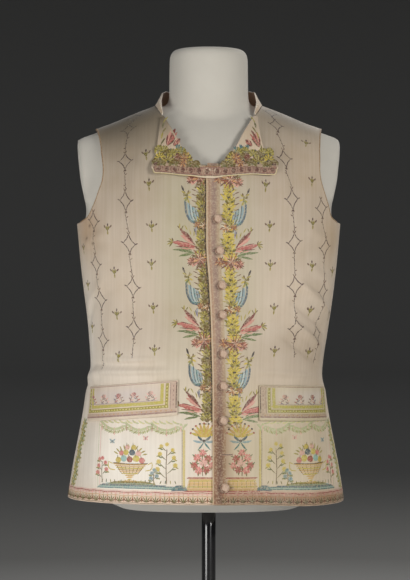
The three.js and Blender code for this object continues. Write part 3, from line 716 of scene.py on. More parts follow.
def add_float(bag, spine, half_widths, tone, raised=RAISED):
    """One float of silk: a spine of places with its half width at each, domed and sunk at the rim."""
    spine = np.asarray(spine, float)
    heading = np.gradient(spine, axis=0)
    heading = heading / np.maximum(np.hypot(*heading.T), 1e-6)[:, None]
    aside = np.stack([-heading[:, 1], heading[:, 0]], axis=1) * np.asarray(half_widths, float)[:, None]
    start = len(bag["places"])
    last = len(spine) - 1
    tone = np.array(tone)[:3]
    shade = bag["chance"].uniform(0.9, 1.1)
    for k, here in enumerate(spine):
        top = raised if 0 < k < last else SUNK
        # Each float's raised middle is painted a little lighter and its sunk rims a little darker, as painted
        # light and shade on the dome.
        for way, up, share in ((1, SUNK, 0.88), (0, top, 1.06), (-1, SUNK, 0.88)):
            bag["places"].append((*(here + way * aside[k]), up))
            bag["tones"].append((*(tone * share * shade), 1.0))
    for a in range(start, start + 3 * last, 3):
        bag["faces"] += [(a + 1, a, a + 3, a + 4), (a + 2, a + 1, a + 4, a + 5)]


def petal(bag, s, t, turn, length, width, tone, curl=0.0, raised=RAISED):
    """A leaf or petal from its foot outwards; turn is in degrees from straight out, curl bends it."""
    f = PETAL_STATIONS
    heading = np.radians(turn + curl * (f - 0.3))
    hops = np.diff(f)[:, None] * length * np.stack([np.cos(heading), np.sin(heading)], axis=1)[1:]
    spine = np.array([s, t]) + np.concatenate([[[0, 0]], np.cumsum(hops, axis=0)])
    add_float(bag, spine, width / 2 * np.sin(math.pi * np.clip(f, 0.04, 0.96)) ** 0.8, tone, raised)
    return spine[-1]


def petals(bag, s, t, *rows):
    """Several, each with its foot across and up from one place."""
    for across, up, *rest in rows:
        petal(bag, s + across, t + up, *rest)


def run_through(points, step):
    """Places at even short steps on the line through a few places."""
    points = np.array(points, float)
    at = even_steps(points, max(int(np.hypot(*np.diff(points, axis=0).T).sum() / step), 2))
    return along_edge(points, at)


def strand(bag, points, width, tone, raised=RAISED * 0.8):
    """A thin line of silk through a few places."""
    spine = run_through(points, 3.2)
    add_float(bag, spine, [width / 2] * len(spine), tone, raised)


def strands(bag, s, t, *rows):
    """Several, each a width, a colour and places across and up from one place."""
    for width, tone, *points in rows:
        strand(bag, [(s + across, t + up) for across, up in points], width, tone)


def knot(bag, s, t, radius, tone, raised=RAISED):
    """A small round dot."""
    f = np.linspace(-1, 1, 5)
    spine = np.stack([s + radius * f, t + 0 * f], axis=1)
    add_float(bag, spine, radius * np.sqrt(np.clip(1 - f**2, 0.02, 1)), tone, raised)


def sprig(bag, s, t, wide):
    """Three budded stems that open from one foot, over a few pale green leaves."""
    for turn in (90 + 24 * wide, 90 - 26 * wide, 262):
        petal(bag, s, t - 5, turn, 7.0, 3.2, LIME)
    for lean, length, bud in ((0, 8.5, PLUM), (36, 7.5, UMBER), (-36, 7.5, UMBER)):
        tip = petal(bag, s, t - 6, 90 + lean * wide, length, 1.8, OLIVE)
        petal(bag, tip[0], tip[1] - 2, 90 + lean * wide, 5.0, 3.2, bud)
    petal(bag, s, t - 6, 250, 4.0, 2.0, OLIVE)


def lozenge(bag, s, t, slant, wide=9.5, tall=14.0):
    """Four hollow sides that cross at the ends, with a thorn at each side corner."""
    for way in (-1, 1):
        corner = (way * wide, way * 1.6)
        sides = [((up * slant + corner[0]) / 2 - way * 1.8, (up * tall + corner[1]) / 2) for up in (1, -1)]
        strands(bag, s, t, (1.9, PLUM, (slant, tall), sides[0], corner),
                (1.9, PLUM, corner, sides[1], (-slant, -tall)))
        petals(bag, s, t, (way * (wide - 2), way * 1.6 - 0.6, 90 - way * 66, 6.4, 2.4, PLUM),
               (slant, tall - 1, 90 - way * 30, 5.4, 2.0, UMBER),
               (-slant, 1 - tall, 270 + way * 34, 4.4, 1.8, UMBER))
    petal(bag, s - slant, t - tall + 2, 270, 6.0, 2.2, PLUM)


def chain(bag, stations):
    """Lozenges joined by dashed stems, ending in a hanging stem with a bud."""
    for k, (s, t) in enumerate(stations):
        ended = k + 1 == len(stations)
        after = (s, t - CHAIN_END_DROP) if ended else stations[k + 1]
        lozenge(bag, s, t, (s - after[0]) * 0.2)
        aside, top, low = after[0] - s, t - 17, after[1] + (0 if ended else 15)
        dashes = max(int((top - low) / 5.2), 1)
        strand(bag, [(s, top), ((s + after[0]) / 2 + 0.5, (top + low) / 2), (after[0], low)], 0.9, PLUM)
        for dash in range(dashes):
            a, b = ((s + aside * f, top + (low - top) * f) for f in (dash / dashes, (dash + 0.78) / dashes))
            strand(bag, [a, ((a[0] + b[0]) / 2 + 0.4, (a[1] + b[1]) / 2), b], 1.7, PLUM)
            if dash % 3 == 1:
                petal(bag, *a, 90 + (60 if dash % 2 else -60), 4.4, 1.8, UMBER)


def thread_finish():
    """Coloured silk floats: the kept tone of each, broken by fine ribs and a little wear."""
    thread = Finish("coloured silk thread")
    tone = thread.kept("tone")
    places = thread.places()
    worn = thread.steps(thread.noise(places, 420.0, 2.0), 0.45, 0.7, 0.0, 0.45)
    return thread.done({
        "Base Color": thread.blend(worn, tone, colour(208, 194, 164)),
        "Normal": thread.bump(thread.fibres(places, (260.0, 260.0, 1900.0)), 0.4, 0.0002),
        "Roughness": 0.5,
        "Sheen Weight": 0.15,
    })


def dulled(tones, ground):
    """Tones darkened as much as their ground's tint is, so that they take its stains and its painted shade.
    """
    kept = np.minimum(np.array(ground)[..., :3] / np.array(IVORY[:3]), 1)
    return np.concatenate([tones[:, :3] * kept, tones[:, 3:]], axis=1)


def lay(name, bag, place, flip=False):
    """Lays a bag of floats on a cloth piece as one joined mesh; flip is for the wearer's right."""
    places, tones = np.array(bag["places"]), np.array(bag["tones"])
    if place in (on_left, on_right):
        spots = LEFT_SPOTS if place == on_left else RIGHT_SPOTS
        # Floats on the fronts take the darkening of the ground's tint under them, painted shade included.
        tones = dulled(tones, tinted(places[:, 0], places[:, 1], IVORY, spots))
    points = place(places[:, 0], places[:, 1], CLOTH + places[:, 2])
    faces = [face[::-1] for face in bag["faces"]] if flip else bag["faces"]
    made = mesh_object(name, points, faces, silk_thread)
    keep_values(made, "tone", tones)
    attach(made, "root")
    return made


silk_thread = thread_finish()
for side, place in FRONTS.items():
    bag = new_bag()
    for stations in CHAINS[side]:
        chain(bag, stations)
    lay("woven_chains_" + side, bag, place, side == "right")
    bag = new_bag()
    for number, (s, t) in enumerate(SPRIGS[side]):
        sprig(bag, s, t, 1.0 + 0.15 * (number % 3 - 1))
    lay("woven_sprigs_" + side, bag, place, side == "right")

# ---- woven flower borders ----
# A rich border is woven down beside each front edge: a thick leafy garland with flower heads, long-tailed
# blue birds, pink buds that flare outwards and slim green leaves, one repeat under another.
REPEAT, REPEATS = 117.5, 3
BORDER_TOP = {"left": 465, "right": 469.5}  # the topmost flower heads, measured up over the chest
GARLAND = {"left": 30, "right": 32.5}       # the garland's distance from its own front's edge
OVER_CHEST = 0.79                           # rise in height for each measured step above the chest line
NIGHT, SLATE = colour(54, 44, 44), colour(88, 102, 110)
SKY, PALE_BLUE = colour(142, 164, 168), colour(178, 190, 186)
ROSE, DARK_ROSE, BLUSH = colour(178, 96, 88), colour(118, 58, 52), colour(208, 150, 134)
GOLD, LEMON, BRONZE = colour(200, 176, 70), colour(212, 192, 88), colour(104, 78, 38)
RUSSET, AMBER, CREAM = colour(148, 88, 60), colour(200, 148, 92), colour(226, 212, 184)
LILAC, DARK_LEAF, DARK_STEM_AND_SHADOW = colour(142, 130, 144), colour(70, 92, 62), colour(70, 56, 40)


def bird(bag, s, t):
    """A small dark head that looks up and out, a leafy ruff, and a full blue tail that sweeps in below."""
    petals(bag, s, t, (-1, -5, 68, 10.5, 3.8, NIGHT), (-2, -4, 282, 8, 2.6, BRONZE))
    for across, up, turn, length, tone in (
        (-4, -8, 30, 8, LIME), (-5, -9, 150, 7, LIME), (-5, -7, 262, 11, OLIVE),
        (-6, -13, 330, 7, LIME), (-6, -12, 205, 7, GOLD), (-5, -12, 285, 9, LEAF),
        (-6, -11, 14, 7, OLIVE), (-5, -15, 240, 8, LIME), (-7, -9, 96, 6, BRONZE),
    ):
        petal(bag, s + across, t + up, turn, length, 3.6, tone)
    for inset, width, tone in ((3.0, 4.4, SKY), (7.0, 4.2, PALE_BLUE), (11.2, 4.0, SKY), (14.6, 2.6, SKY)):
        f = inset / 15
        strands(bag, s, t, (width, tone, (-3.6 - inset, -19 - 9 * f), (-4.6 - inset, -32 - f),
                            (-7.6 - inset * 0.92, -43 + 3 * f), (-13 - inset * 0.7, -49 + 4 * f)))
    for inset, top, width, tone in ((4.8, 20, 2.2, SLATE), (9.0, 25, 2.0, TEAL), (13, 29, 2.2, SLATE),
                                    (16.4, 30, 2.0, SLATE)):
        strands(bag, s, t, (width, tone, (-3.6 - inset, -top), (-6 - inset * 0.95, -38),
                            (-9.5 - inset * 0.9, -47)))
    outline = (4.2, SLATE, (-2.6, -17), (-3.2, -30), (-6.4, -41), (-12.4, -48.4), (-21, -50))
    strands(bag, s, t, outline, (4.6, TEAL, (-7.5, -43), (-13.5, -48), (-24, -47.5)))
    petals(bag, s, t, (-17, -55, 262, 13, 5.0, LILAC), (-15, -57, 250, 9, 2.0, SLATE),
           (-19, -55, 276, 8, 2.2, SKY))


def flare(bag, s, t):
    """Two full buds that fan out and up from one foot, mauve between them, with curled green tips."""
    petal(bag, s + 4, t + 4, 34, 25, 7.0, BLUSH)
    tip = petal(bag, s + 2, t + 2, 46, 37, 7.0, DARK_ROSE, 5)
    petals(bag, s, t, (8, 7, 44, 22, 2.8, ROSE), (6, 9, 52, 18, 2.0, UMBER))
    petals(bag, *tip, (-2, -4, 84, 9, 3.0, LIME, 20), (-4, -5, 112, 8, 2.2, OLIVE, 10),
           (-3, -3, 40, 7, 2.0, BRONZE, 10))
    tip = petal(bag, s, t, 10, 38, 10.4, ROSE, 6)
    petals(bag, s, t, (12, 3, 10, 23, 8.6, ROSE, 5), (7, 2.6, 14, 24, 2.6, BLUSH),
           (10, -0.6, 4, 22, 2.6, DARK_ROSE), (16, 6, 14, 15, 2.6, DARK_ROSE))
    for turn, length, tone in ((-44, 9, OLIVE), (-14, 10, LIME), (16, 9, OLIVE),
                               (50, 9, LIME), (84, 7, BRONZE)):
        petal(bag, tip[0] - 2.5, tip[1] - 0.8, turn, length, 2.6, tone, -30)
    petals(bag, s, t, (1, -2, -2, 22, 4.0, BLUSH, 8), (-3, -4, 40, 9, 2.6, UMBER))
    for across, up, turn in ((5, 15, 100), (9, 17, 82), (1, 11, 118), (14, 24, 66)):
        petal(bag, s + across, t + up, turn, 9, 2.2, LIME, -20)


def slim_leaves(bag, s, t):
    """A spray of narrow green blades that points outwards."""
    petals(bag, s, t, (-4, -1, 20, 36, 6.0, LEAF, -30), (2, 4, 34, 14, 3.6, LEAF, -30),
           (0, 0, -8, 22, 4.6, LEAF, -8), (2, 1, 16, 25, 1.8, DARK_LEAF, -24),
           (-2, 0, 186, 10, 3.2, LEAF, 20), (-1, -2, 214, 8, 2.6, OLIVE, 10))


def flower_head(bag, s, t, radius, tones, start=0.0):
    """A full head of narrow petals, dark between and paler towards the middle."""
    scale = min(0.35 + radius / 20, 1.15)
    for ring_share, count, width in ((1.0, 14, 3.2), (0.7, 10, 2.6), (0.42, 5, 2.2)):
        for k in range(count):
            turn = start + 360 * k / count + 30 * ring_share
            reach = radius * ring_share * (0.84 + 0.1 * ((k * 5) % 3))
            tone = tones[(k + count) % len(tones)]
            petal(bag, s, t, turn, reach, width * scale, tone, 10, RAISED * (2 - 0.5 * ring_share))


def tuft(bag, s, t, half, tall, tone, dark):
    """A solid fan of broad leaves with curled tips, dark veins between them and a dark knot below."""
    for k in range(9):
        f = (k - 4) / 4
        length = half * abs(f) + tall * (1 - abs(f))
        petal(bag, s, t, 90 - 88 * f, length, 4.8, tone if k % 2 == 0 else dark, 40 * f)
    for f in (-0.8, -0.35, 0.3, 0.75):
        petal(bag, s, t + 0.6, 90 - 88 * f, half * 0.7, 1.2, BRONZE, 30 * f)
    for f in (-1, 1):
        petal(bag, s + f * 2, t - 1.5, 90 - 112 * f, half * 0.62, 3.0, tone, 30 * f)


def border_repeat(bag, near, t, deep):
    """One repeat of the border below a flower head at height t; near(h) is the garland's place."""
    light, mid, dark = (OLIVE, OLIVE, BRONZE) if deep else (GOLD, LIME, OLIVE)
    bright = LIME if deep else GOLD

    def at(drop):
        return near(t - drop)

    strand(bag, [(at(drop) + 1.4 * math.sin(0.3 * drop), t - drop) for drop in range(4, 116, 6)], 10, mid)
    for drop in range(8, 114, 7):
        place, h, odd = at(drop) + 2.4 * math.sin(1.1 * drop), t - drop, drop % 2
        for way in (-1, 1):
            reach = 9 + 2.4 * math.sin(0.4 * drop + way)
            petal(bag, place + way, h - 4, 90 - way * 62, reach, 4.4, (light, dark)[odd], way * 26)
            petal(bag, place + way, h - 2, 90 - way * 34, 9, 3.4, (bright, light)[odd], way * 16)
            petal(bag, place + way * 3, h - 6, 90 - way * 98, 8, 2.2, (mid, BRONZE)[odd], way * 30)
    for number, (drop, half, tall, tone, other) in enumerate((
        (16, 8, 7, bright, mid), (27, 9, 8, dark, light), (37, 12, 9, bright, mid), (48, 10, 8, mid, bright),
        (58, 8, 7, dark, mid), (78, 9, 8, bright, light), (87, 11, 9, mid, bright), (97, 8, 7, dark, mid),
        (108, 12, 10, bright, light),
    )):
        tuft(bag, at(drop) + 2.0 * math.sin(1.7 * number), t - drop - 3, half * 0.88, tall, tone, other)
        for way in (-1, 1):
            shine = bright if deep and number % 2 else LEMON
            petal(bag, at(drop) + way * 2, t - drop - 3, 90 - way * 58, 9, 3.4, shine, way * 20)
    for drop in range(14, 112, 8):
        tone, radius = (BRONZE, DARK_STEM_AND_SHADOW)[drop % 16 < 8], 2.5 + drop % 3 * 0.3
        knot(bag, at(drop) + 1.6 * math.sin(drop), t - drop - 3, radius, tone, RAISED * 1.7)
    head = at(0)
    middle = head + (4 if deep else 2)
    flower_head(bag, middle, t, 17, (UMBER, RUSSET, DARK_ROSE, UMBER, BLUSH, AMBER, RUSSET))
    flower_head(bag, middle + 1, t + 1, 8, (DARK_ROSE, BLUSH, UMBER, CREAM), 12)
    flower_head(bag, middle + 12, t - 3, 8, (UMBER, DARK_ROSE, BLUSH, RUSSET), 20)
    for across, up, turn in ((9, 3, 20), (8, -3, -16), (-8, 4, 160), (-9, -2, 190)):
        petal(bag, head + across, t + up, turn, 9, 2.8, OLIVE)
    for across, up in ((0, 0), (3, 3), (-3, 2), (4, -3), (-2, -4)):
        knot(bag, middle + 1.3 * across, t + 1.3 * up, 1.9, (NIGHT, CREAM)[across % 2])
    if not deep:
        flower_head(bag, head - 14, t + 1, 9, (RUSSET, AMBER, UMBER, DARK_ROSE))
    flower_head(bag, at(68) - 3, t - 68, 8.5, (RUSSET, AMBER, CREAM, UMBER), 14)
    flower_head(bag, at(68) + 7, t - 67, 6, (RUSSET, AMBER, UMBER), 4)
    petals(bag, at(69), t, (-6, -67, 200, 8, 3.0, RUSSET, 30), (9, -62, 66, 9, 2.6, OLIVE, -30))
    # On the right front a dark stem and a row of dark knots run close beside the left front's edge. They are
    # a woven stem and also the painted shadow that the overlapping edge casts.
    if deep:
        stem = [(at(drop) - 5.0 + 0.9 * math.sin(0.5 * drop), t - drop) for drop in range(0, 119, 6)]
        strand(bag, stem, 5.0, DARK_STEM_AND_SHADOW, RAISED * 1.8)
        for drop in range(4, int(REPEAT), 6):
            place, tone = at(drop) - 4.2 + 1.8 * math.sin(drop), (NIGHT, BRONZE, DARK_ROSE)[drop % 3]
            knot(bag, place, t - drop, 2.8, tone, RAISED * 2)
    for drop in (20, 27, 36, 44, 52):
        petal(bag, at(drop) + 8, t - drop, 24, 8, 1.9, UMBER)
    bird(bag, at(12) + 27, t - 15)
    flare(bag, at(92) + 7, t - 99.5)
    slim_leaves(bag, at(104) + 13, t - 109)


def over_chest(place):
    """The same place function for heights measured along the cloth where it rises over the chest."""
    return lambda s, h, away: place(s, np.where(h > CHEST, CHEST + (h - CHEST) * OVER_CHEST, h), away)


def from_edge(side, distance):
    """A line that keeps one distance from a front's own edge, as place round by height."""
    if side == "left":
        return lambda h: read(FRONT_EDGE, 1, h) + distance
    return lambda h: distance - read(FRONT_EDGE, 1, h) - LAP_UNDER


for side, place in FRONTS.items():
    bag = new_bag()
    for repeat in range(REPEATS):
        top = BORDER_TOP[side] - repeat * REPEAT
        border_repeat(bag, from_edge(side, GARLAND[side]), top, side == "right")
    lay("woven_flower_border_" + side, bag, over_chest(place), side == "right")

# ---- woven edge band ----
# Inside the left front's edge runs a plain striped band of peach and mauve, woven with the silk.
# The buttonholes are cut across it, and the right front's own band lies hidden under it.
BAND_FOOT, BAND_TOP = 1.5, 472
BAND_STRIPES = [  # distance from the edge, colour
    (0.2, colour(214, 188, 154)), (1.3, colour(196, 158, 132)), (2.4, colour(178, 140, 114)),
    (3.4, colour(194, 158, 134)), (4.8, colour(190, 156, 134)), (5.8, colour(176, 144, 128)),
    (9.6, colour(170, 138, 126)), (12.4, colour(178, 148, 130)), (13.6, colour(194, 164, 138)),
    (16.8, colour(202, 176, 146)), (18.6, colour(212, 194, 162))]


def ribbon(bag, points, stripes, mottle=0.05, step=2.4):
    """A flat striped band: stripes are distances to the right of its line, with their colours."""
    start = len(bag["places"])
    chance = random.Random(11)
    line = run_through(points, step)
    first, last = line[0] + 0.15 * (line[1] - line[0]), line[-1] + 0.15 * (line[-2] - line[-1])
    line = np.concatenate([line[:1], [first], line[1:-1], [last], line[-1:]])
    heading = np.gradient(line, axis=0)
    heading = heading / np.linalg.norm(heading, axis=1)[:, None]
    aside = np.stack([heading[:, 1], -heading[:, 0]], axis=1)
    across, rows = len(stripes), len(line) - 1
    for j in range(rows + 1):
        shade = 1 + chance.uniform(-mottle, mottle)
        for i, (distance, tone) in enumerate(stripes):
            rim = i in (0, across - 1) or j in (0, rows)
            bag["places"].append((*(line[j] + aside[j] * distance), SUNK if rim else 0.08))
            bag["tones"].append((*(np.array(tone[:3]) * shade), 1.0))
    for row in range(start, start + rows * across, across):
        bag["faces"] += [(a, a + 1, a + across + 1, a + across) for a in range(row, row + across - 1)]


band_line = from_edge("left", 0)
bag = new_bag()
ribbon(bag, [(float(band_line(h)), h) for h in np.linspace(BAND_FOOT, BAND_TOP, 24)], BAND_STRIPES)
lay("woven_edge_band", bag, on_left)

# ---- woven skirt figures ----
# Below the pockets each front has a framed field: a swag along its top, a yellow post at its inner side,
# and in it a footed golden basket of fruit between flowering bushes on a strip of green bank.
# Beside the edge stands a rose bush on a straw-coloured stand, with a fan and a bow over it.
FIELD_LOW, FIELD_HIGH = 22, 116
POST, FRAME = 67, 195  # distances from the front's own edge
FAN_STEP = 13.4         # along the hem
AQUA, BRICK = colour(150, 184, 176), colour(168, 82, 66)
STRAW, SAND = colour(206, 166, 94), colour(214, 178, 128)
PINK, PALE_PINK, HEM_PINK = colour(216, 132, 126), colour(228, 178, 166), colour(212, 170, 142)
SAGE, PRIMROSE, MOSS = colour(192, 194, 150), colour(216, 206, 148), colour(164, 164, 104)


def mound(bag, s, t, wide, tall, tone, ridge_tone):
    """A low bank, level below and rounded above, with darker strokes along it."""
    for k in range(5):
        f = k / 5
        half, up = wide * math.sqrt(1 - f**2), tall * f
        strands(bag, s, t, (tall / 4, tone if k % 2 else ridge_tone, (-half, up), (0, up + 0.6), (half, up)))


def rose(bag, s, t, size, tone, middle):
    """A full round blossom of overlapping petals."""
    for k in range(8):
        petal(bag, s, t, 45 * k + 12, size, size * 0.62, tone, 20)
    for k in range(5):
        petal(bag, s, t + 0.3, 72 * k, size * 0.55, size * 0.42, middle, 30)


def bush(bag, s, t, tall, blossom, middle, count):
    """A stem with branches, leaves and blossoms that thin out to the top."""
    strands(bag, s, t, (1.5, BRONZE, (0, 0), (0.8, tall * 0.4), (-0.4, tall * 0.9)))
    for k in range(count):
        f = (k + 1) / count
        way = -1 if k % 2 else 1
        reach = tall * (0.34 - 0.16 * f)
        height = t + tall * (0.22 + 0.7 * f)
        end = petal(bag, s, height - reach * 0.5, 90 - way * 52, reach, 1.6, OLIVE, way * 24)
        petal(bag, end[0] - way, end[1] - 2, 90 - way * 110, 6.5, 2.6, LIME, 20)
        petal(bag, s + way * reach * 0.4, height - 3, 90 - way * 75, 7, 2.6, LEAF, 20)
        rose(bag, *end, 4.4 - 1.2 * f, blossom, middle)
    rose(bag, s - 0.4, t + tall, 3.4, blossom, middle)


def fruit_basket(bag, s, t):
    """A shallow two-handled basket on a foot, heaped with fruit and leaves."""
    for k in range(7):
        half, row = 7 + 15 * (k / 6)**0.7, 9 + 2.1 * k
        strands(bag, s, t, (2.3, (STRAW, GOLD, SAND)[k % 3], (-half, row), (0, row - 0.6), (half, row)))
    for k in range(-3, 4):
        strands(bag, s, t, (0.9, BRONZE, (k * 3.0, 9), (k * 4.6, 15), (k * 6.2, 21.5)))
    strands(bag, s, t, (1.9, BRONZE, (-23, 22.5), (0, 21.5), (23, 22.5)))
    for way in (-1, 1):
        strands(bag, s, t, (1.5, GOLD, (way * 21, 21), (way * 28, 24), (way * 27, 16), (way * 18, 14)))
    for up, half, tone in ((0, 11, BRONZE), (2, 9, STRAW), (4, 4, GOLD), (6.5, 5, STRAW)):
        strands(bag, s, t, (2.4, tone, (-half, up), (0, up), (half, up)))
    fruits = ((-15, 26, 4.4, PINK), (-8, 28, 5.0, LEMON), (0, 27, 4.6, BRICK), (8, 28, 5.0, AQUA),
              (15, 26, 4.4, GOLD), (-11, 34, 4.2, PALE_PINK), (-3, 35, 4.6, SLATE), (5, 35, 4.4, LEMON),
              (11, 34, 4.0, PINK), (-5, 41, 3.8, GOLD), (3, 41, 3.8, PALE_PINK))
    for across, up, radius, tone in fruits:
        knot(bag, s + across, t + up, radius, tone)
        petal(bag, s + across, t + up, 70, radius * 1.5, 1.2, BRONZE, 30)
    for turn in range(20, 180, 16):
        tone = LIME if turn % 32 else LEAF
        across, up = math.cos(math.radians(turn)), math.sin(math.radians(turn))
        petal(bag, s + 16 * across, t + 30 + 8 * up, turn, 7, 2.4, tone, 16)


def enlarged(bag, figure, s, t, size):
    """Adds a figure drawn round its own foot, set down at a place and made larger."""
    own = new_bag()
    figure(own, 0, 0)
    start = len(bag["places"])
    bag["places"] += [(s + size * place[0], t + size * place[1], place[2]) for place in own["places"]]
    bag["tones"] += own["tones"]
    bag["faces"] += [tuple(start + corner for corner in face) for face in own["faces"]]


def butterfly(bag, s, t, tone):
    """Two pairs of small wings on a dark body."""
    for turn, length in ((40, 6), (140, 6), (-30, 4.4), (210, 4.4)):
        petal(bag, s, t, turn, length, 3.0, tone)
    petal(bag, s, t - 3, 90, 6, 1.3, NIGHT)


def swag(bag, s0, s1, t, sag):
    """A hanging garland of pale leaves between two places, with a bud under its middle."""
    for k in range(13):
        f = (k + 0.5) / 13
        s, drop = s0 + (s1 - s0) * f, t - sag * 4 * f * (1 - f)
        slope = math.degrees(math.atan2(-sag * 4 * (1 - 2 * f), s1 - s0))
        petal(bag, s, drop, slope + 34, 8, 3.4, SAGE)
        petal(bag, s, drop, slope - 36, 7.5, 3.2, MOSS if k % 2 else SAGE)
        petal(bag, s, t + 3, 8 + 20 * (k % 3), 7, 3.0, (SAGE, PRIMROSE)[k % 2])
        if k % 4 == 2:
            petal(bag, s, drop + 5, 270, 6, 2.8, PALE_PINK)
    petal(bag, (s0 + s1) / 2, t - sag, 270, 7, 3.2, PALE_PINK)
    for end in (s0, s1):
        petal(bag, end, t + 1, 270, 10, 2.6, PALE_PINK)
        knot(bag, end, t + 2, 2.2, SAGE)


def field(bag, side):
    """The framed field of one front, from its post to its outer frame."""
    post, frame = from_edge(side, POST), from_edge(side, FRAME)

    def upright(line, top, *rows):
        for aside, width, tone in rows:
            strand(bag, [(float(line(h)) + aside, h) for h in np.linspace(FIELD_LOW, top, 9)], width, tone)

    upright(post, FIELD_HIGH - 8, (-1.3, 1.6, GOLD), (0.6, 1.8, LEMON), (2.4, 1.1, BRONZE))
    for k in range(4):
        petal(bag, float(post(110)), 104 + 2 * k, 90 + 30 * (k - 1.5), 8, 3, SAGE)
    upright(frame, FIELD_HIGH, (0, 0.9, PALE_PINK), (3.4, 0.9, SAGE))
    left, right = float(post(100)) + 4, float(frame(100)) - 2
    third = (right - left) / 3
    for k in range(3):
        swag(bag, left + k * third, left + (k + 1) * third, FIELD_HIGH - 4, 8)
    left, right = float(post(30)) + 3, float(frame(30)) + 6
    wide = right - left
    for k, (tone, reach) in enumerate((
        (TEAL, 0.0), (AQUA, 0.03), (TEAL, 0.08), (SLATE, 0.16), (AQUA, 0.3),
    )):
        strands(bag, 0, FIELD_LOW + 1.6 * k, (1.9, tone, (left + wide * reach, 0), (left + wide * 0.5, 0.6),
                                              (right - wide * reach * 0.4, 0)))
    middle = left + wide * 0.56
    mound(bag, middle, FIELD_LOW + 6, 38, 5, OLIVE, LIME)
    enlarged(bag, fruit_basket, middle + 3, FIELD_LOW + 8, 1.24)
    bush(bag, left + wide * 0.16, FIELD_LOW + 6, 58, LEMON, AMBER, 7)
    bush(bag, left + wide * 0.92, FIELD_LOW + 6, 36, PINK, BRICK, 5)
    bush(bag, left + wide * 0.3, FIELD_LOW + 5, 22, SKY, SLATE, 4)
    for k in range(16):
        place, tone = left + wide * (0.06 + 0.058 * k), (OLIVE, LIME, DARK_LEAF)[k % 3]
        petal(bag, place, FIELD_LOW + 7, 70 + 14 * (k % 4), 6, 1.8, tone)
    butterfly(bag, middle - 22, FIELD_LOW + 72, PALE_PINK)
    butterfly(bag, middle + 32, FIELD_LOW + 66, SKY)


def edge_figure(bag, side):
    """The rose bush on its stand between the front edge and the post."""
    e = from_edge(side, 40)
    foot = float(e(98)) - 2
    for k in range(9):
        turn = 18 + 18 * k
        petal(bag, foot, 96, turn, 22, 5.2, STRAW if k % 2 else GOLD, 0)
        across, up = 20 * math.cos(math.radians(turn)), 20 * math.sin(math.radians(turn))
        knot(bag, foot + across, 96 + up, 1.9, NIGHT if k % 2 else BRICK)
    s = float(e(90)) - 2
    for way in (-1, 1):
        petals(bag, s, 90, (0, 1, 90 - way * 62, 15, 5.0, SLATE, way * 60),
               (0, 0, 90 - way * 96, 17, 4.6, SKY, way * 40), (0, 0, 90 - way * 150, 16, 3.0, TEAL, way * 24))
    knot(bag, s, 91, 2.6, NIGHT)
    s = float(e(58))
    strands(bag, s, 0, (1.8, BRONZE, (0, 40), (0.6, 56), (0, 76)))
    for across, up, size, tone in (
        (0, 74, 6.0, PINK), (-8, 66, 6.2, ROSE), (8, 67, 6.4, PINK), (-1, 60, 7.0, PALE_PINK),
        (-12, 56, 5.6, PINK), (12, 56, 6.2, ROSE), (-5, 50, 6.0, ROSE), (6, 49, 6.4, PINK),
    ):
        for turn in (150, 30, 270):
            petal(bag, s + across, up, turn, size * 1.4, 2.8, LEAF if turn < 200 else OLIVE, 20)
        rose(bag, s + across, up, size, tone, BRICK if tone == ROSE else PALE_PINK)
    base = float(e(26))
    for k in range(10):
        rim = k in (0, 9)
        half, tone = 25 - 0.5 * k + (3 if rim else 0), BRICK if rim else (SAND, STRAW, SAND, GOLD)[k % 4]
        strands(bag, base, 19.4 + 2.1 * k, (2.5, tone, (-half, 0), (0, 0), (half, 0)))
    for k in range(-3, 4):
        strands(bag, base, 0, (0.9, BRONZE, (k * 6.4, 22), (k * 6.2, 29), (k * 6.0, 36)))
    mound(bag, base + 33, 20, 13, 8, TEAL, SLATE)


def side_leaves(bag, side):
    """A column of leafy sprays down by the vent."""
    inwards = 42 if side == "right" else 32
    for k in range(12):
        h = 112 - 8 * k
        s = float(to_side([h])[0]) - inwards + 2.4 * math.sin(1.9 * k)
        for turn, tone in ((60, LIME), (118, LEAF), (20, LEMON), (160, LIME),
                           (90, SAGE), (-20, LIME), (196, SAGE)):
            petal(bag, s, h - 3, turn + 8 * ((k * 3) % 4), 11.5, 4.6, tone, 20)
        knot(bag, s - 4, h - 4, 1.6, OLIVE)
        knot(bag, s + 3, h + 1, 1.6, BRONZE)


def hem_border(bag, side):
    """Along the hem: a pink line, then a row of small green and brown fans on a pale edge."""
    start, end = float(from_edge(side, 14 if side == "left" else 27)(8)), float(to_side([8])[0]) - 12
    count = int((end - start) / FAN_STEP)
    for k in range(count + 1):
        s = start + (end - start) * k / count
        for turn, tone in ((90, LEAF), (58, OLIVE), (122, OLIVE), (30, BRONZE), (150, BRONZE)):
            petal(bag, s, 2.6, turn, 9.4, 2.2, tone)
        petals(bag, s, 0, (6.7, 2.6, 90, 7.6, 2.8, RUSSET), (6.7, 12.4, 90, 5.0, 4.4, PALE_PINK),
               (0, 12.8, 90, 3.6, 3.4, HEM_PINK))
        knot(bag, s + 6.7, 10.6, 1.2, AMBER)
    for up, width, tone in ((18.6, 1.2, PALE_PINK), (16.8, 2.0, ROSE), (14.8, 1.4, PALE_PINK),
                            (1.6, 1.0, BRONZE), (12.0, 0.9, AMBER)):
        waves = [(s, up + 0.5 * math.sin(s * 0.45)) for s in np.linspace(start - 6, end + 6, 30)]
        strand(bag, waves, width, tone)


for side, place in FRONTS.items():
    for group, figures in (("field", (field, side_leaves)), ("stand", (edge_figure,)),
                           ("hem_border", (hem_border,))):
        bag = new_bag()
        for figure in figures:
            figure(bag, side)
        lay("woven_" + group + "_" + side, bag, place, side == "right")

# ---- pocket flaps ----
# A flap covers each pocket mouth. It is cut from silk woven to its shape, with its own green and yellow
# frame, is lined, and is sewn down along its top edge only.
FLAP_DEEP = 50
FLAP_CUT_FROM = 400  # where on the loom width its silk is cut
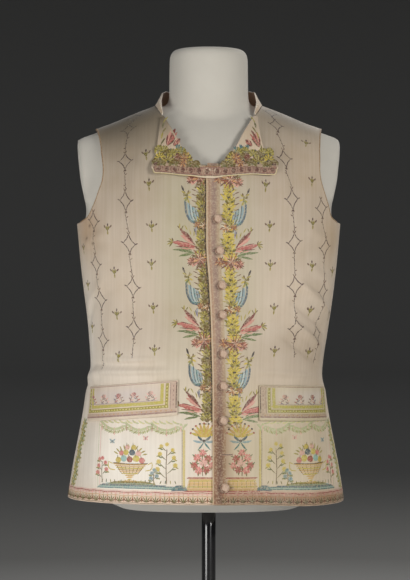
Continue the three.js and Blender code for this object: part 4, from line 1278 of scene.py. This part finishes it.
# The left flap's ground is the shaded colour, which is painted shade.
FLAPS = {  # inner end round from the centre, length, height of the top at both ends, lilac share, ground
    "right": (40, 149, 178, 165, 0.75, IVORY),
    "left": (76, 124, 170, 166, 0.5, SHADED),
}
FLAP_ROWS, FLAP_COLUMNS = 44, 120
DOT_STEP, DASH_STEP, SPRAY_STEP = 4.6, 7.2, 12.4  # along the flap's frame
FLAP_CREASES = [  # along and up from the lower inner corner, to along and up, width, height
    (16, 2, 26, 46, 9, 0.9), (52, -4, 58, 40, 12, -0.8), (88, 0, 84, 48, 10, 0.9),
    (124, -4, 132, 44, 12, -0.8), (30, 26, 120, 22, 8, 0.5)]
FLAP_LILAC, FLAP_PINK, MAUVE = colour(214, 202, 196), colour(200, 172, 154), colour(158, 124, 116)
OCHRE, BUTTER = colour(196, 182, 92), colour(226, 218, 134)
BAND_EDGE, DARK_LINE = colour(120, 88, 74), colour(88, 62, 48)


def on_flap(side):
    """The place function of one flap, for distances along it and up from its lower inner corner."""
    start, long, top, far_top = FLAPS[side][:4]

    def place(along, up, away):
        height = top + (far_top - top) * along / long - FLAP_DEEP + up
        loose = fade((FLAP_DEEP - 6 - up) / FLAP_DEEP)
        ripple = creases(along, up, FLAP_CREASES) * loose + 0.8 * loose
        return FRONTS[side](start + along, height, away + ON_TOP + ripple)

    return place


def spray(bag, s, t, lean, tones):
    """A small flowering spray that leans over, on a thin stem."""
    strands(bag, s, t, (0.9, tones[2], (0, 0), (lean * 0.3, 6), (lean, 11)))
    for k in range(4):
        f = (k + 1) / 4
        way = -1 if k % 2 else 1
        petal(bag, s + lean * f * 0.8, t + 9 * f, 90 + way * 55, 5.4, 2.4, tones[k % 2], 20)
    rose(bag, s + lean, t + 12, 3.2, tones[0], tones[1])


def flap_weave(bag, long):
    """The frame on three sides of a flap and the small sprays inside it."""
    deep = FLAP_DEEP
    dull = [(0, OCHRE), (0.8, LIME), (4.4, LIME), (5.2, OCHRE)]
    bright = [(0, LIME), (0.7, OCHRE), (4.6, OCHRE), (5.3, GOLD)]
    for stripes, *points in (
        ([(-0.2, DARK_LINE), (1.8, DARK_LINE), (2.4, FLAP_PINK), (8.8, FLAP_PINK), (10, MAUVE), (11, IVORY)],
         (0, 10), (0, deep - 2.5)),
        ([(0.6, IVORY), (3.2, IVORY), (4.0, MAUVE), (5.4, MAUVE), (6.0, FLAP_PINK), (9.4, FLAP_PINK),
          (10.2, IVORY)], (long - 0.6, 0.4), (long / 2, 0.2), (0.6, 0.4)),
        (dull, (12, 11), (12, deep - 3)),
        (bright, (19, 18), (19, deep - 3)),
        (dull, (long - 3, 11), (long / 2, 11), (12, 11)),
        (bright, (long - 13, 17), (long / 2, 17), (19, 17)),
        (dull, (long - 8.6, 11), (long - 8.6, deep - 3)),
        (bright, (long - 15, 17), (long - 15, deep - 3)),
    ):
        ribbon(bag, points, stripes)
    for k in range(int((long - 22) / DOT_STEP)):
        knot(bag, 15 + DOT_STEP * k, 13.6, 1.5, BUTTER)
    for k in range(int((deep - 15) / DOT_STEP)):
        for along in (14.7, long - 6):
            knot(bag, along, 14 + DOT_STEP * k, 1.5, BUTTER)
    for k in range(int((long - 20) / DASH_STEP)):
        petal(bag, 16 + DASH_STEP * k, 20, 8, 4.6, 1.6, LEMON)
        knot(bag, 8 + DASH_STEP * k, 7.8, 1.3, AMBER)
    for k in range(5):
        petal(bag, 5.6, 14 + 6.6 * k, 90, 3.4, 2.2, MAUVE)
    count = int((long - 44) / SPRAY_STEP)
    for k in range(count + 1):
        s = 32 + (long - 50) * k / count
        tones = ((PALE_PINK, MAUVE, UMBER), (MAUVE, PALE_PINK, OLIVE), (ROSE, LILAC, UMBER))[k % 3]
        spray(bag, s, 22.5, (5, -5, 6, -4)[k % 4], tones)
        if k % 2 == 0:
            petals(bag, s + 6, 23, (0, 0, 20, 8, 1.8, LILAC), (0, 0, 160, 8, 1.8, LILAC))
    strand(bag, [(26, 23.4), (long / 2, 22.8), (long - 15, 23.4)], 0.8, MAUVE)
    top = [(0, FLAP_PINK), (0.6, MAUVE), (1.4, FLAP_PINK), (2.2, IVORY)]
    ribbon(bag, [(long - 1, deep - 2.6), (1, deep - 2.6)], top)


for side, (start, long, top, far_top, lilac, ground) in FLAPS.items():
    along, up = np.meshgrid(np.linspace(0, long, FLAP_COLUMNS), np.linspace(0, FLAP_DEEP, FLAP_ROWS))
    window = [(long / 2 + 4, 34, long * 0.34, 13, lilac, FLAP_LILAC),
              (long - 25, 36, 20, 12, 0.4, FLAP_LILAC)]
    tint = tinted(along, up, ground, window)
    flap = sewn("pocket_flap_" + side + "_silk", silk, on_flap(side), along, up, tint, side == "right",
                start=FLAP_CUT_FROM)
    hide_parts("pocket_flap_" + side)
    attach(flap, "root")
    bag = new_bag()
    flap_weave(bag, long)
    # The flap's figures are darkened with its ground, which on the left flap is painted shade.
    bag["tones"] = dulled(np.array(bag["tones"]), ground)
    woven = lay("woven_flap_frame_" + side, bag, on_flap(side), side == "right")

# ---- lapels ----
# The top corners of both fronts are turned down as short pointed lapels. Their undersides are faced with
# silk woven for them: leaf and flower clusters over a dotted rose band along the lower edge.
LAPEL_SHY = 0.15
LAPEL_ROLL = 1.3   # the soft turn along the neckline stands up this much
LAPEL_LOOSE = 2.0  # and the lower edge hangs this far off the front
TIP_CURL = 4.0
LAPEL_SAG, LAPEL_LIFT = 4.4, 3.4  # the lower edge sinks at the centre and lifts towards the tips
LAPEL = np.array([  # height above the hem, inner edge, outer edge of the right and the left lapel
    (473, 5, 74, 90), (481, 6, 80, 97), (492, 23, 78, 88), (510, 37, 74, 79), (533, 49, 71.5, 73),
    (549, 58.5, 70, 71), (559, 64, 69.5, 70)], float)
LAPEL_CLIMB_FROM, LAPEL_CLIMB_FADE = 15, 40
LAPEL_ROWS, LAPEL_COLUMNS = 96, 72
LAPEL_DOT_STEP = 10.2
LAPELS = {"right": ((0.092, 0.1), 0.0041, 0.95), "left": ((0.098, 0.1), 0.0045, 0.2)}  # flat, area, shade
BAND_ROSE, BAND_PALE, BAND_DOT = colour(150, 112, 96), colour(168, 132, 112), colour(106, 68, 58)
DARK_GREEN = colour(92, 90, 48)


def lapel_edges(side):
    """The lapel's edge along the neckline and its outer edge, as places on the cloth."""
    crossed = (LAPEL[:, 0] <= NOTCH + 1) & (side == "right")
    inner = np.where(crossed, -LAPEL[:, 1], LAPEL[:, 1] + (0 if side == "right" else LAPEL_SHY))
    outer = LAPEL[:, 2 if side == "right" else 3]
    return [np.stack(spot(across, LAPEL[:, 0]), axis=1) for across in (inner, outer)]


def on_lapel(side):
    """The place function of one lapel, in places on the front under it."""
    inner, outer = lapel_edges(side)
    low, tip = inner[0, 1], outer[1]

    def place(s, t, away):
        s, t, away = np.broadcast_arrays(np.asarray(s, float), np.asarray(t, float), np.asarray(away, float))
        from_neck = s - np.interp(t, inner[:, 1], inner[:, 0])
        roll = LAPEL_ROLL * np.exp(-((np.maximum(from_neck, 0) / 5) ** 2)) * fade((t - low) / 12)
        loose = LAPEL_LOOSE * fade((low + 20 - t) / 20) * fade((s - 8) / 14)
        curl = TIP_CURL * fade((s - tip[0] + 24) / 24) * fade((tip[1] + 18 - t) / 22)
        off = away + ON_TOP + roll + loose + curl
        bow = -LAPEL_SAG + (LAPEL_SAG + LAPEL_LIFT) * fade(np.abs(s) / tip[0]) ** 1.2
        t = t + bow * fade((low + 34 - t) / 34)
        if side == "left":
            return on_left(s, t, off)
        climb = ON_TOP * (1 - fade((s - LAPEL_CLIMB_FROM) / LAPEL_CLIMB_FADE))
        return skin(-s, t, off + climb + creases(s, t, RIGHT_CREASES))

    return place


def flame(bag, s, t, turn, length):
    """A slim bud of red and pink tongues that points up along the neckline."""
    for aside, share, width, tone in (
        (0, 1.0, 8.0, DARK_ROSE), (15, 0.86, 5.6, ROSE), (-15, 0.9, 5.6, BLUSH), (28, 0.6, 4.2, UMBER),
        (-28, 0.66, 4.0, DARK_ROSE), (5, 0.7, 2.6, BLUSH), (-8, 0.8, 2.4, ROSE),
    ):
        petal(bag, s, t, turn + aside, length * share, width, tone, -aside * 0.5)


def lapel_weave(bag, side):
    """The lapel's figures: leaf tufts and florets above the dotted band, buds up the neckline."""
    inner, outer = lapel_edges(side)
    (start, low), foot, tip = inner[0], outer[0, 0], outer[1]
    under = [(tip[0] - 1.4, tip[1] - 1.2), (foot, low + 0.9), (foot * 0.5, low + 0.7)]
    under += [(start - 0.1, low + 0.7)]
    stripes = [(0, GOLD), (0.8, CREAM), (1.3, BAND_EDGE), (2.6, BAND_ROSE), (6, BAND_PALE), (9.6, BAND_ROSE),
               (10.4, BAND_EDGE), (11.2, AMBER)]
    ribbon(bag, under, stripes, 0.1, 1.6)
    for s, t in run_through(under, LAPEL_DOT_STEP)[:-1]:
        for up, size in ((6.2, 4.2), (4.6, 3.0), (7.8, 3.0)):
            knot(bag, s - 4, t + up, size, BAND_DOT)
        petal(bag, s - 9.2, t + 4, 90, 5.5, 1.8, BAND_EDGE)

    def clear(s, up, room):
        """A figure's place, held back from the neckline."""
        return max(s * foot / 74, float(np.interp(low + up, inner[:, 1], inner[:, 0])) + room)

    for s, up, half, tall, tone, other in (
        (8, 13, 6, 5, OLIVE, BRONZE), (19, 17, 9, 9, LIME, BRONZE), (26, 13, 7, 5, BRONZE, OLIVE),
        (50, 15, 9, 8, OLIVE, BRONZE), (58, 20, 11, 11, LIME, BRONZE), (67, 15, 8, 8, OLIVE, BRONZE),
        (52, 28, 8, 8, LIME, OLIVE), (70, 26, 8, 9, GOLD, OLIVE), (64, 34, 8, 8, OLIVE, LIME),
        (42, 31, 7, 6, OLIVE, LIME), (72, 37, 6, 8, LIME, OLIVE), (13, 21, 7, 7, GOLD, OLIVE),
        (40, 22, 8, 7, OLIVE, BRONZE), (34, 28, 7, 7, LIME, OLIVE), (60, 29, 8, 8, OLIVE, BRONZE),
        (75, 20, 7, 8, OLIVE, BRONZE), (45, 17, 7, 6, BRONZE, OLIVE), (24, 23, 7, 6, OLIVE, BRONZE),
    ):
        place = clear(s, up, half * 0.8)
        tuft(bag, place, low + up, half, tall, tone, other)
        knot(bag, place, low + up - 1, 2.4, DARK_GREEN)
    flower_head(bag, clear(31, 21, 8), low + 21, 9, (RUSSET, UMBER, AMBER, DARK_ROSE))
    flower_head(bag, clear(36, 14, 6), low + 15, 6, (AMBER, RUSSET, UMBER), 20)
    flower_head(bag, clear(44, 24, 6), low + 23, 7, (UMBER, RUSSET, DARK_ROSE), 10)
    for s, up, turn in ((25, 27, 60), (29, 29, 100), (36, 33, 70), (46, 35, 120)):
        for aside in (-26, 0, 26):
            petal(bag, clear(s, up, 5), low + up, turn + aside, 6.5, 3.0, TEAL if aside else SLATE)
    flame(bag, clear(59, 42, 10), low + 40, 116, 27)
    flame(bag, clear(50, 40, 9), low + 39, 140, 13)
    for k in range(6):
        place = float(np.interp(low + 36 + 9 * k, outer[:, 1], outer[:, 0])) - 5
        tone = (OLIVE, DARK_GREEN, LIME)[k % 3]
        petal(bag, place, low + 34 + 9 * k, 96 + 24 * (k % 2), 12, 3.6, tone, 14)
    for s, up in ((68, 22), (73, 17), (62, 28), (14, 20), (40, 18), (54, 34), (34, 25), (48, 21),
                  (57, 17), (22, 17), (66, 32), (70, 28), (44, 27), (28, 19), (60, 23)):
        knot(bag, clear(s, up, 3), low + up, 2.3, NIGHT)


for side, (flat, area, shade) in LAPELS.items():
    grid = panel(*lapel_edges(side), LAPEL_ROWS, LAPEL_COLUMNS)
    s, t = grid[..., 0], grid[..., 1]
    # Each lapel's ground has soil lower down and a darker pink strip along its lower band. At its top is a
    # painted shadow, set by the lapel's shade share and strongest on the right lapel.
    tint = tinted(s, t, IVORY, [(40, 480, 40, 30, 0.3, SOIL), (60, 520, 30, 40, 0.35, SOIL),
                                (66, 560, 30, 46, shade, PAINTED_SHADE), (45, 474, 90, 6, 0.7, PINK_AND_SHADE)])
    lapel = sewn("lapel_" + side + "_silk", silk, on_lapel(side), s, t, tint, side == "right", 0.7)
    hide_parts("lapel_" + side)
    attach(lapel, "root")
    bag = new_bag()
    lapel_weave(bag, side)
    woven = lay("woven_lapel_figures_" + side, bag, on_lapel(side), side == "right")

# ---- collar ----
# A narrow standing collar of ivory silk, faced inside with tan silk. Its foot is sewn into the neckline
# and it leans in to the neck; its top fold has worn through, with a few broken threads.
COLLAR_THICK = 1.8
COLLAR_CUT_FROM = 900  # where on the loom width its silk is cut
COLLAR_ROWS, COLLAR_COLUMNS = 20, 170
COLLAR_FOOT = [  # across, height or none for the shoulder line, behind, how tall there, how far it leans
    (69, 564, False, 3, 0.3), (76, 575, False, 11, 0.45), (80, None, False, 21, 0.48),
    (66, 578, True, 29, 0.3), (32, 568, True, 35, 0.22), (0, 565, True, 37, 0.2)]
TAN, PAINTED_COLLAR_SHADE = colour(176, 140, 116), colour(120, 70, 62)
COLLAR_CREASES = [  # round and up, to round and up, width, height
    (20, 2, 26, 20, 6, 0.7), (70, 0, 82, 34, 9, -0.6), (168, 2, 160, 34, 9, 0.6), (212, 0, 206, 18, 6, -0.6)]
FRAYED = [*range(6, 22), *range(150, 164)]  # columns of the fold where threads stand out
THREAD_RADIUS = 0.17


def tubes(name, lines, radius, tone, sides=8):
    """Round cords along lines of points, joined as one piece."""
    verts, faces = [], []
    turns = round_turns(sides)
    for line in lines:
        line = np.array(line, float)
        ahead = np.gradient(line, axis=0)
        ahead = ahead / np.linalg.norm(ahead, axis=1)[:, None]
        first = np.cross(ahead, [0.31, 0.83, 0.47])
        first = first / np.linalg.norm(first, axis=1)[:, None]
        second = np.cross(ahead, first)
        rings = line + (np.cos(turns)[:, None, None] * first + np.sin(turns)[:, None, None] * second) * radius
        faces += ring_faces(len(line), sides, len(verts))
        verts += rings.transpose(1, 0, 2).reshape(-1, 3).tolist()
    made = mesh_object(name, verts, faces, silk_thread)
    keep_values(made, "tone", np.array([tone] * len(verts)))
    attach(made, "root")
    return made


feet, rises = [], []
for across, up, behind, tall, lean in COLLAR_FOOT:
    foot = skin(*spot(across, float(ridge(across)) if up is None else up, behind), ON_TOP + GAP, behind)
    feet.append([across, foot[1], foot[2]])
    rises.append([tall * math.sqrt(1 - lean**2), tall * lean])
feet += [[-x, y, z] for x, y, z in feet[-2::-1]]
rises += rises[-2::-1]
at = np.linspace(0, len(feet) - 1, COLLAR_COLUMNS)
feet, rises = along_edge(feet, at), along_edge(rises, at)
inward = -feet * [1, 1, 0]
inward = inward / np.linalg.norm(inward, axis=1)[:, None]
run = np.concatenate([[0], np.cumsum(np.linalg.norm(np.diff(feet, axis=0), axis=1))])
length, height = np.meshgrid(run, np.linspace(0, 1, COLLAR_ROWS))
outer = feet + height[:, :1, None] * (inward * rises[:, 1:] + [0, 0, 1] * rises[:, :1])
up = height * rises[:, 0]
outer = outer - (creases(length, up, COLLAR_CREASES) * height)[..., None] * inward
outer[..., 2] += 0.5 * np.sin(length * 0.21) * height**3
collar, edge = shell("collar_silk", outer, outer + inward * COLLAR_THICK, silk, 0.6)
keep_values(collar, "cut", for_both_faces(np.dstack([length + COLLAR_CUT_FROM, up, 0 * up]), edge))
end = run[-1]
worn = [(0, 0, 30, 30, 0.5, SOIL), (end, 0, 30, 30, 0.5, SOIL), (end / 2, 0, 90, 8, 0.4, SOIL)]
outside = tinted(length, up, IVORY, worn).reshape(-1, 4)
# The inside facing darkens towards the collar's front ends as painted shade inside the collar.
inside = tinted(length, up, TAN, [(0, 6, 40, 30, 0.5, PAINTED_COLLAR_SHADE), (end, 6, 40, 30, 0.5, PAINTED_COLLAR_SHADE)]).reshape(-1, 4)
keep_values(collar, "tint", np.concatenate([outside, inside, [PALE_AND_PAINTED_LIGHT] * len(edge)]))
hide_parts("collar")
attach(collar, "root")

chance = random.Random(5)
threads = []
for k in FRAYED:
    foot = outer[-1][k] + [0, 0, -0.6]
    sway = [chance.uniform(-2.5, 2.5), chance.uniform(-1.5, 1.5), chance.uniform(1.0, 4.0)]
    bend = [chance.uniform(-1, 1), chance.uniform(-1, 1), 1.2]
    threads.append([foot, foot + bend, foot + sway])
collar_threads = tubes("collar_broken_threads", threads, THREAD_RADIUS, PALE_AND_PAINTED_LIGHT, 5)

# ---- edge cords ----
# A thin tan cord finishes the left front's edge. Both armholes are bound with narrow strips of brown
# silk, worn pale, that run on from the fronts over the shoulder to the back.
CORD_RADIUS, BINDING_RADIUS = 1.05, 1.35
CORD_FOOT, CORD_TOP = 0.6, NOTCH - 14
CORD_TAN, BINDING_BROWN = colour(204, 176, 142), colour(150, 118, 84)

heights = np.linspace(CORD_FOOT, CORD_TOP, 130)
cord_line = on_left(band_line(heights) - 0.3, heights, CLOTH / 2)
edge_cord = tubes("left_edge_cord", [cord_line], CORD_RADIUS, CORD_TAN)
bindings = []
for place, table, columns, way in (
    (on_left, UPPER_FRONT, (3, 4), 1), (on_right, UPPER_FRONT, (2, 4), 1),
    (on_back, UPPER_BACK, (2, 3), 1), (on_back, UPPER_BACK, (2, 3), -1),
):
    line = run_through(upper_edge(table, columns, SHOULDER_POINT, place == on_back), 4)
    bindings.append(place(way * line[:, 0], line[:, 1], CLOTH / 2))
armhole_bindings = tubes("armhole_bindings", bindings, BINDING_RADIUS, BINDING_BROWN)

# ---- buttonholes ----
# Nine holes are cut across the woven band and worked round with close silk stitches.
# The hole between the last two buttons has lost its button and lies open.
HOLE_INSIDE, HOLE_BEYOND = 4, 13
HOLE_STITCH = 0.78
BUTTONS = [  # across from the centre, height above the hem, how far it leans aside and up
    (12, 410, 0.03, 0.02), (15.2, 365, -0.04, 0.03), (18.3, 315, 0.02, -0.04), (19, 272, 0.05, 0.0),
    (22.2, 215, -0.03, 0.04), (24.3, 169, 0.0, -0.05), (24.3, 119.5, 0.04, 0.03), (26.6, 24, -0.02, 0.02)]
EMPTY_HOLE = (25, 71.5)
HOLE_THREAD, HOLE_DARK = colour(180, 150, 128), colour(66, 46, 42)


def buttonhole(bag, s, t, lean):
    """A slit with a row of stitches on each side and a bar at each end."""
    long = HOLE_INSIDE + HOLE_BEYOND
    count = int(long / HOLE_STITCH)
    for k in range(count + 1):
        across = long * k / count - HOLE_INSIDE
        for way in (-1, 1):
            strands(bag, s + across, t + lean * across, (0.66, HOLE_THREAD, (0, way * 0.3), (0, way * 1.7)))
    ends = [(across, lean * across) for across in (-HOLE_INSIDE, HOLE_BEYOND)]
    strands(bag, s, t, (1.3, HOLE_DARK, *ends))
    for across, up in ends:
        strands(bag, s + across, t + up, (0.9, HOLE_THREAD, (0, -1.9), (0, 1.9)))


bag = new_bag()
for k, (across, up, *_) in enumerate([*BUTTONS, EMPTY_HOLE]):
    s, t = spot(across, up)
    buttonhole(bag, float(s), float(t), 0.03 * ((k * 5) % 3 - 1))
buttonholes = lay("buttonhole_stitches", bag, lambda s, t, away: on_left(s, t, away + 0.1))

# ---- buttons ----
# Flat wooden moulds covered in the same pinkish ribbed silk, drawn together behind and sewn on with a
# short shank of thread. Each sits a little differently.
BUTTON_SIDES = 44
PLEATS, PLEAT_DEPTH = 11, 0.012  # gathers round the rim, and their share of its radius
COVER_SPACING = 40  # between the discs on the silk that they are cut from
BUTTON_PROFILE = np.array([  # radius, height from the seat, share of the way in from the rim
    (0.0, 0.0, 0.0), (1.5, 0.0, 0.0), (1.2, 0.8, 0.0), (1.6, 1.5, 0.0), (5.6, 1.7, 0.2),
    (6.5, 2.1, 0.34), (6.8, 2.8, 0.38), (6.6, 3.5, 0.38), (6.1, 4.0, 0.5), (5.6, 4.15, 0.62),
    (5.2, 4.0, 0.22), (4.6, 4.25, 0.6), (3.2, 4.5, 0.9), (1.6, 4.62, 1.0), (0.0, 4.66, 1.0)])
BUTTON_COVER, RIM_WEAR_AND_SHADE = np.array(colour(208, 180, 158)), np.array(colour(122, 90, 72))


def cover_finish():
    """Pinkish silk stretched over a mould: fine upright ribs, dusty worn patches, and its kept tint, darker
    at the rim with wear and painted shade.
    """
    cover = Finish("button cover silk")
    cut = cover.kept("cut", "Vector")
    tint = cover.kept("tint")
    ribs = cover.fibres(cut, (1.5, 0.12, 1.0), 2.0)
    ribbed = cover.blend(cover.steps(ribs, 0.42, 0.62), cover.shifted(tint, 0.82, 1.15), tint)
    worn = cover.steps(cover.noise(cut, 0.35, 4.0), 0.5, 0.72)
    return cover.done({
        "Base Color": cover.blend(worn, ribbed, cover.blend(0.5, ribbed, colour(208, 188, 164))),
        "Normal": cover.bump(ribs, 0.4, 0.0003),
        "Roughness": 0.55,
        "Sheen Weight": 0.2,
    })


button_silk = cover_finish()
for number, (across, height, lean, nod) in enumerate(BUTTONS, 1):
    s, t = spot(across, height)
    seat = on_left(s, t, CLOTH)
    right, above = on_left(s + 2, t, CLOTH) - seat, on_left(s, t + 2, CLOTH) - seat
    facing = np.cross(right, above)
    facing, right = facing / np.linalg.norm(facing), right / np.linalg.norm(right)
    up = np.cross(facing, right)
    facing = facing + lean * right + nod * up
    radius, rise, share = (BUTTON_PROFILE[:, column, None] for column in range(3))
    turns = round_turns(BUTTON_SIDES)
    pleated = radius * (1 + PLEAT_DEPTH * np.cos(PLEATS * turns) * (rise < 3.6))
    x, y = pleated * np.cos(turns), pleated * np.sin(turns)
    points = seat + facing * (2 * GAP + rise[..., None]) + x[..., None] * right + y[..., None] * up
    # The tint runs to the rim colour towards the rim and underside, as wear and painted shade. The dark
    # crescent on the lower left of the face's rim is a painted shadow.
    ring = (radius > 4) & (rise > 3.6)
    clean = fade(share * 1.6) * (1 - 0.95 * fade(np.cos(turns - 3.6) * 1.4) * ring)
    tints = RIM_WEAR_AND_SHADE + (BUTTON_COVER - RIM_WEAR_AND_SHADE) * clean[..., None]
    faces = ring_faces(len(BUTTON_PROFILE), BUTTON_SIDES, 0, (False, False))
    name = "button_" + str(number)
    button = mesh_object("covered_" + name, points.reshape(-1, 3), faces, button_silk)
    keep_values(button, "cut", np.dstack([x + COVER_SPACING * number, y, 0 * x]).reshape(-1, 3))
    keep_values(button, "tint", tints.reshape(-1, 4))
    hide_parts(name)
    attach(button, "root")

# ---- woven pieces ----
# The three body panels were cut flat: each front to its woven borders, the right one wider by the part that
# lies under the left, and the back in one piece. They hang closed round the dress form.
# This section only gathers the woven figure pieces of each front by name.
woven = {side: [bpy.data.objects["woven_" + group + "_" + side] for group in
                ("chains", "sprigs", "flower_border", "field", "stand", "hem_border")] for side in FRONTS}
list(woven["right"])
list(woven["left"])

# ---- studio ----
# A pale floor that curves up into a backdrop all round, painted grey away from the piece as a painted
# fall-off of light, with large soft lamps above and beside.
# The camera stands level with the middle of the waistcoat, square to its front.
FLOOR_RADIUS, SWEEP_RADIUS, WALL_TOP = 14000, 4000, 16000
SWEEP_STEPS, FLOOR_SIDES = 24, 96
# The floor keeps its pale colour within the first distance as a painted pool of light, and is painted grey
# beyond the second as painted shade.
FLOOR_PAINTED_LIGHT_WITHIN, FLOOR_PAINTED_SHADE_BEYOND = 0.8, 2.4  # in metres, as the lamps and the camera are


def floor_finish():
    """Pale near the piece and painted grey far behind it: a painted pool of light that falls off to painted
    shade.
    """
    paper = Finish("pale floor")
    places = paper.places()
    pale = paper.blend(paper.noise(places, 1.2, 3.0), colour(205, 204, 202), colour(214, 213, 211))
    squares = []
    for axis in (0, 1):
        part = paper.add("SeparateXYZ", {0: places}, axis)
        squares.append(paper.sums("MULTIPLY", part, part))
    away = paper.sums("SQRT", paper.sums("ADD", *squares))
    far = paper.steps(away, FLOOR_PAINTED_LIGHT_WITHIN, FLOOR_PAINTED_SHADE_BEYOND)
    return paper.done({"Base Color": paper.blend(far, pale, colour(136, 135, 132)), "Roughness": 0.9})


def lamp(name, place, aim, size, power, tone=(1.0, 1.0, 1.0)):
    """A square soft lamp that faces a point."""
    light = bpy.data.lights.new(name, "AREA")
    light.size, light.energy, light.color = size, power, tone
    made = bpy.data.objects.new(name, light)
    made.location = place
    made.rotation_euler = (Vector(aim) - Vector(place)).to_track_quat("-Z", "Y").to_euler()
    bpy.context.scene.collection.objects.link(made)


floor_profile = [(50, 0), (1000, 0), (2200, 0), (5000, 0)]
for k in range(SWEEP_STEPS + 1):
    turn = math.pi / 2 * k / SWEEP_STEPS
    floor_profile.append((FLOOR_RADIUS + SWEEP_RADIUS * math.sin(turn), SWEEP_RADIUS * (1 - math.cos(turn))))
floor_profile.append((FLOOR_RADIUS + SWEEP_RADIUS, WALL_TOP))
turned("studio_floor", floor_profile, FLOOR_SIDES, floor_finish(), (True, False))
lamp("key", (1.9, -2.3, 1.4), (0, 0, 0.66), 0.7, 40, (1.0, 0.98, 0.95))
lamp("low left", (-1.35, -1.5, 0.34), (-0.06, 0, 0.46), 0.9, 22, (1.0, 0.985, 0.97))
lamp("low right", (1.2, -1.9, 0.45), (0, 0, 0.5), 0.8, 2.6)
lamp("front", (-0.3, -3.0, 2.0), (0, 0, 0.6), 1.4, 6)
lamp("behind", (1.2, 2.4, 2.8), (0, 0, 0.8), 1.6, 26, (1.0, 0.99, 0.97))

world = bpy.data.worlds.new("studio air")
world.use_nodes = True
air = world.node_tree.nodes["Background"].inputs
air["Color"].default_value = (0.75, 0.77, 0.8, 1.0)
air["Strength"].default_value = 0.28
bpy.context.scene.world = world

CAMERA_HEIGHT, CAMERA_AWAY, CAMERA_ASIDE = 0.718, 3.0, -0.0055
HALF_VIEW = 0.435  # half the height that the picture takes in at the torso
SENSOR = 36.0
lens = bpy.data.cameras.new("camera")
lens.sensor_fit = "VERTICAL"
lens.sensor_height = SENSOR
lens.lens = SENSOR / 2 * CAMERA_AWAY / HALF_VIEW
camera = bpy.data.objects.new("camera", lens)
camera.location = (CAMERA_ASIDE, -CAMERA_AWAY, CAMERA_HEIGHT)
camera.rotation_euler = (math.pi / 2, 0, 0)
bpy.context.scene.collection.objects.link(camera)
bpy.context.scene.camera = camera
bpy.context.scene.view_settings.view_transform = "Standard"
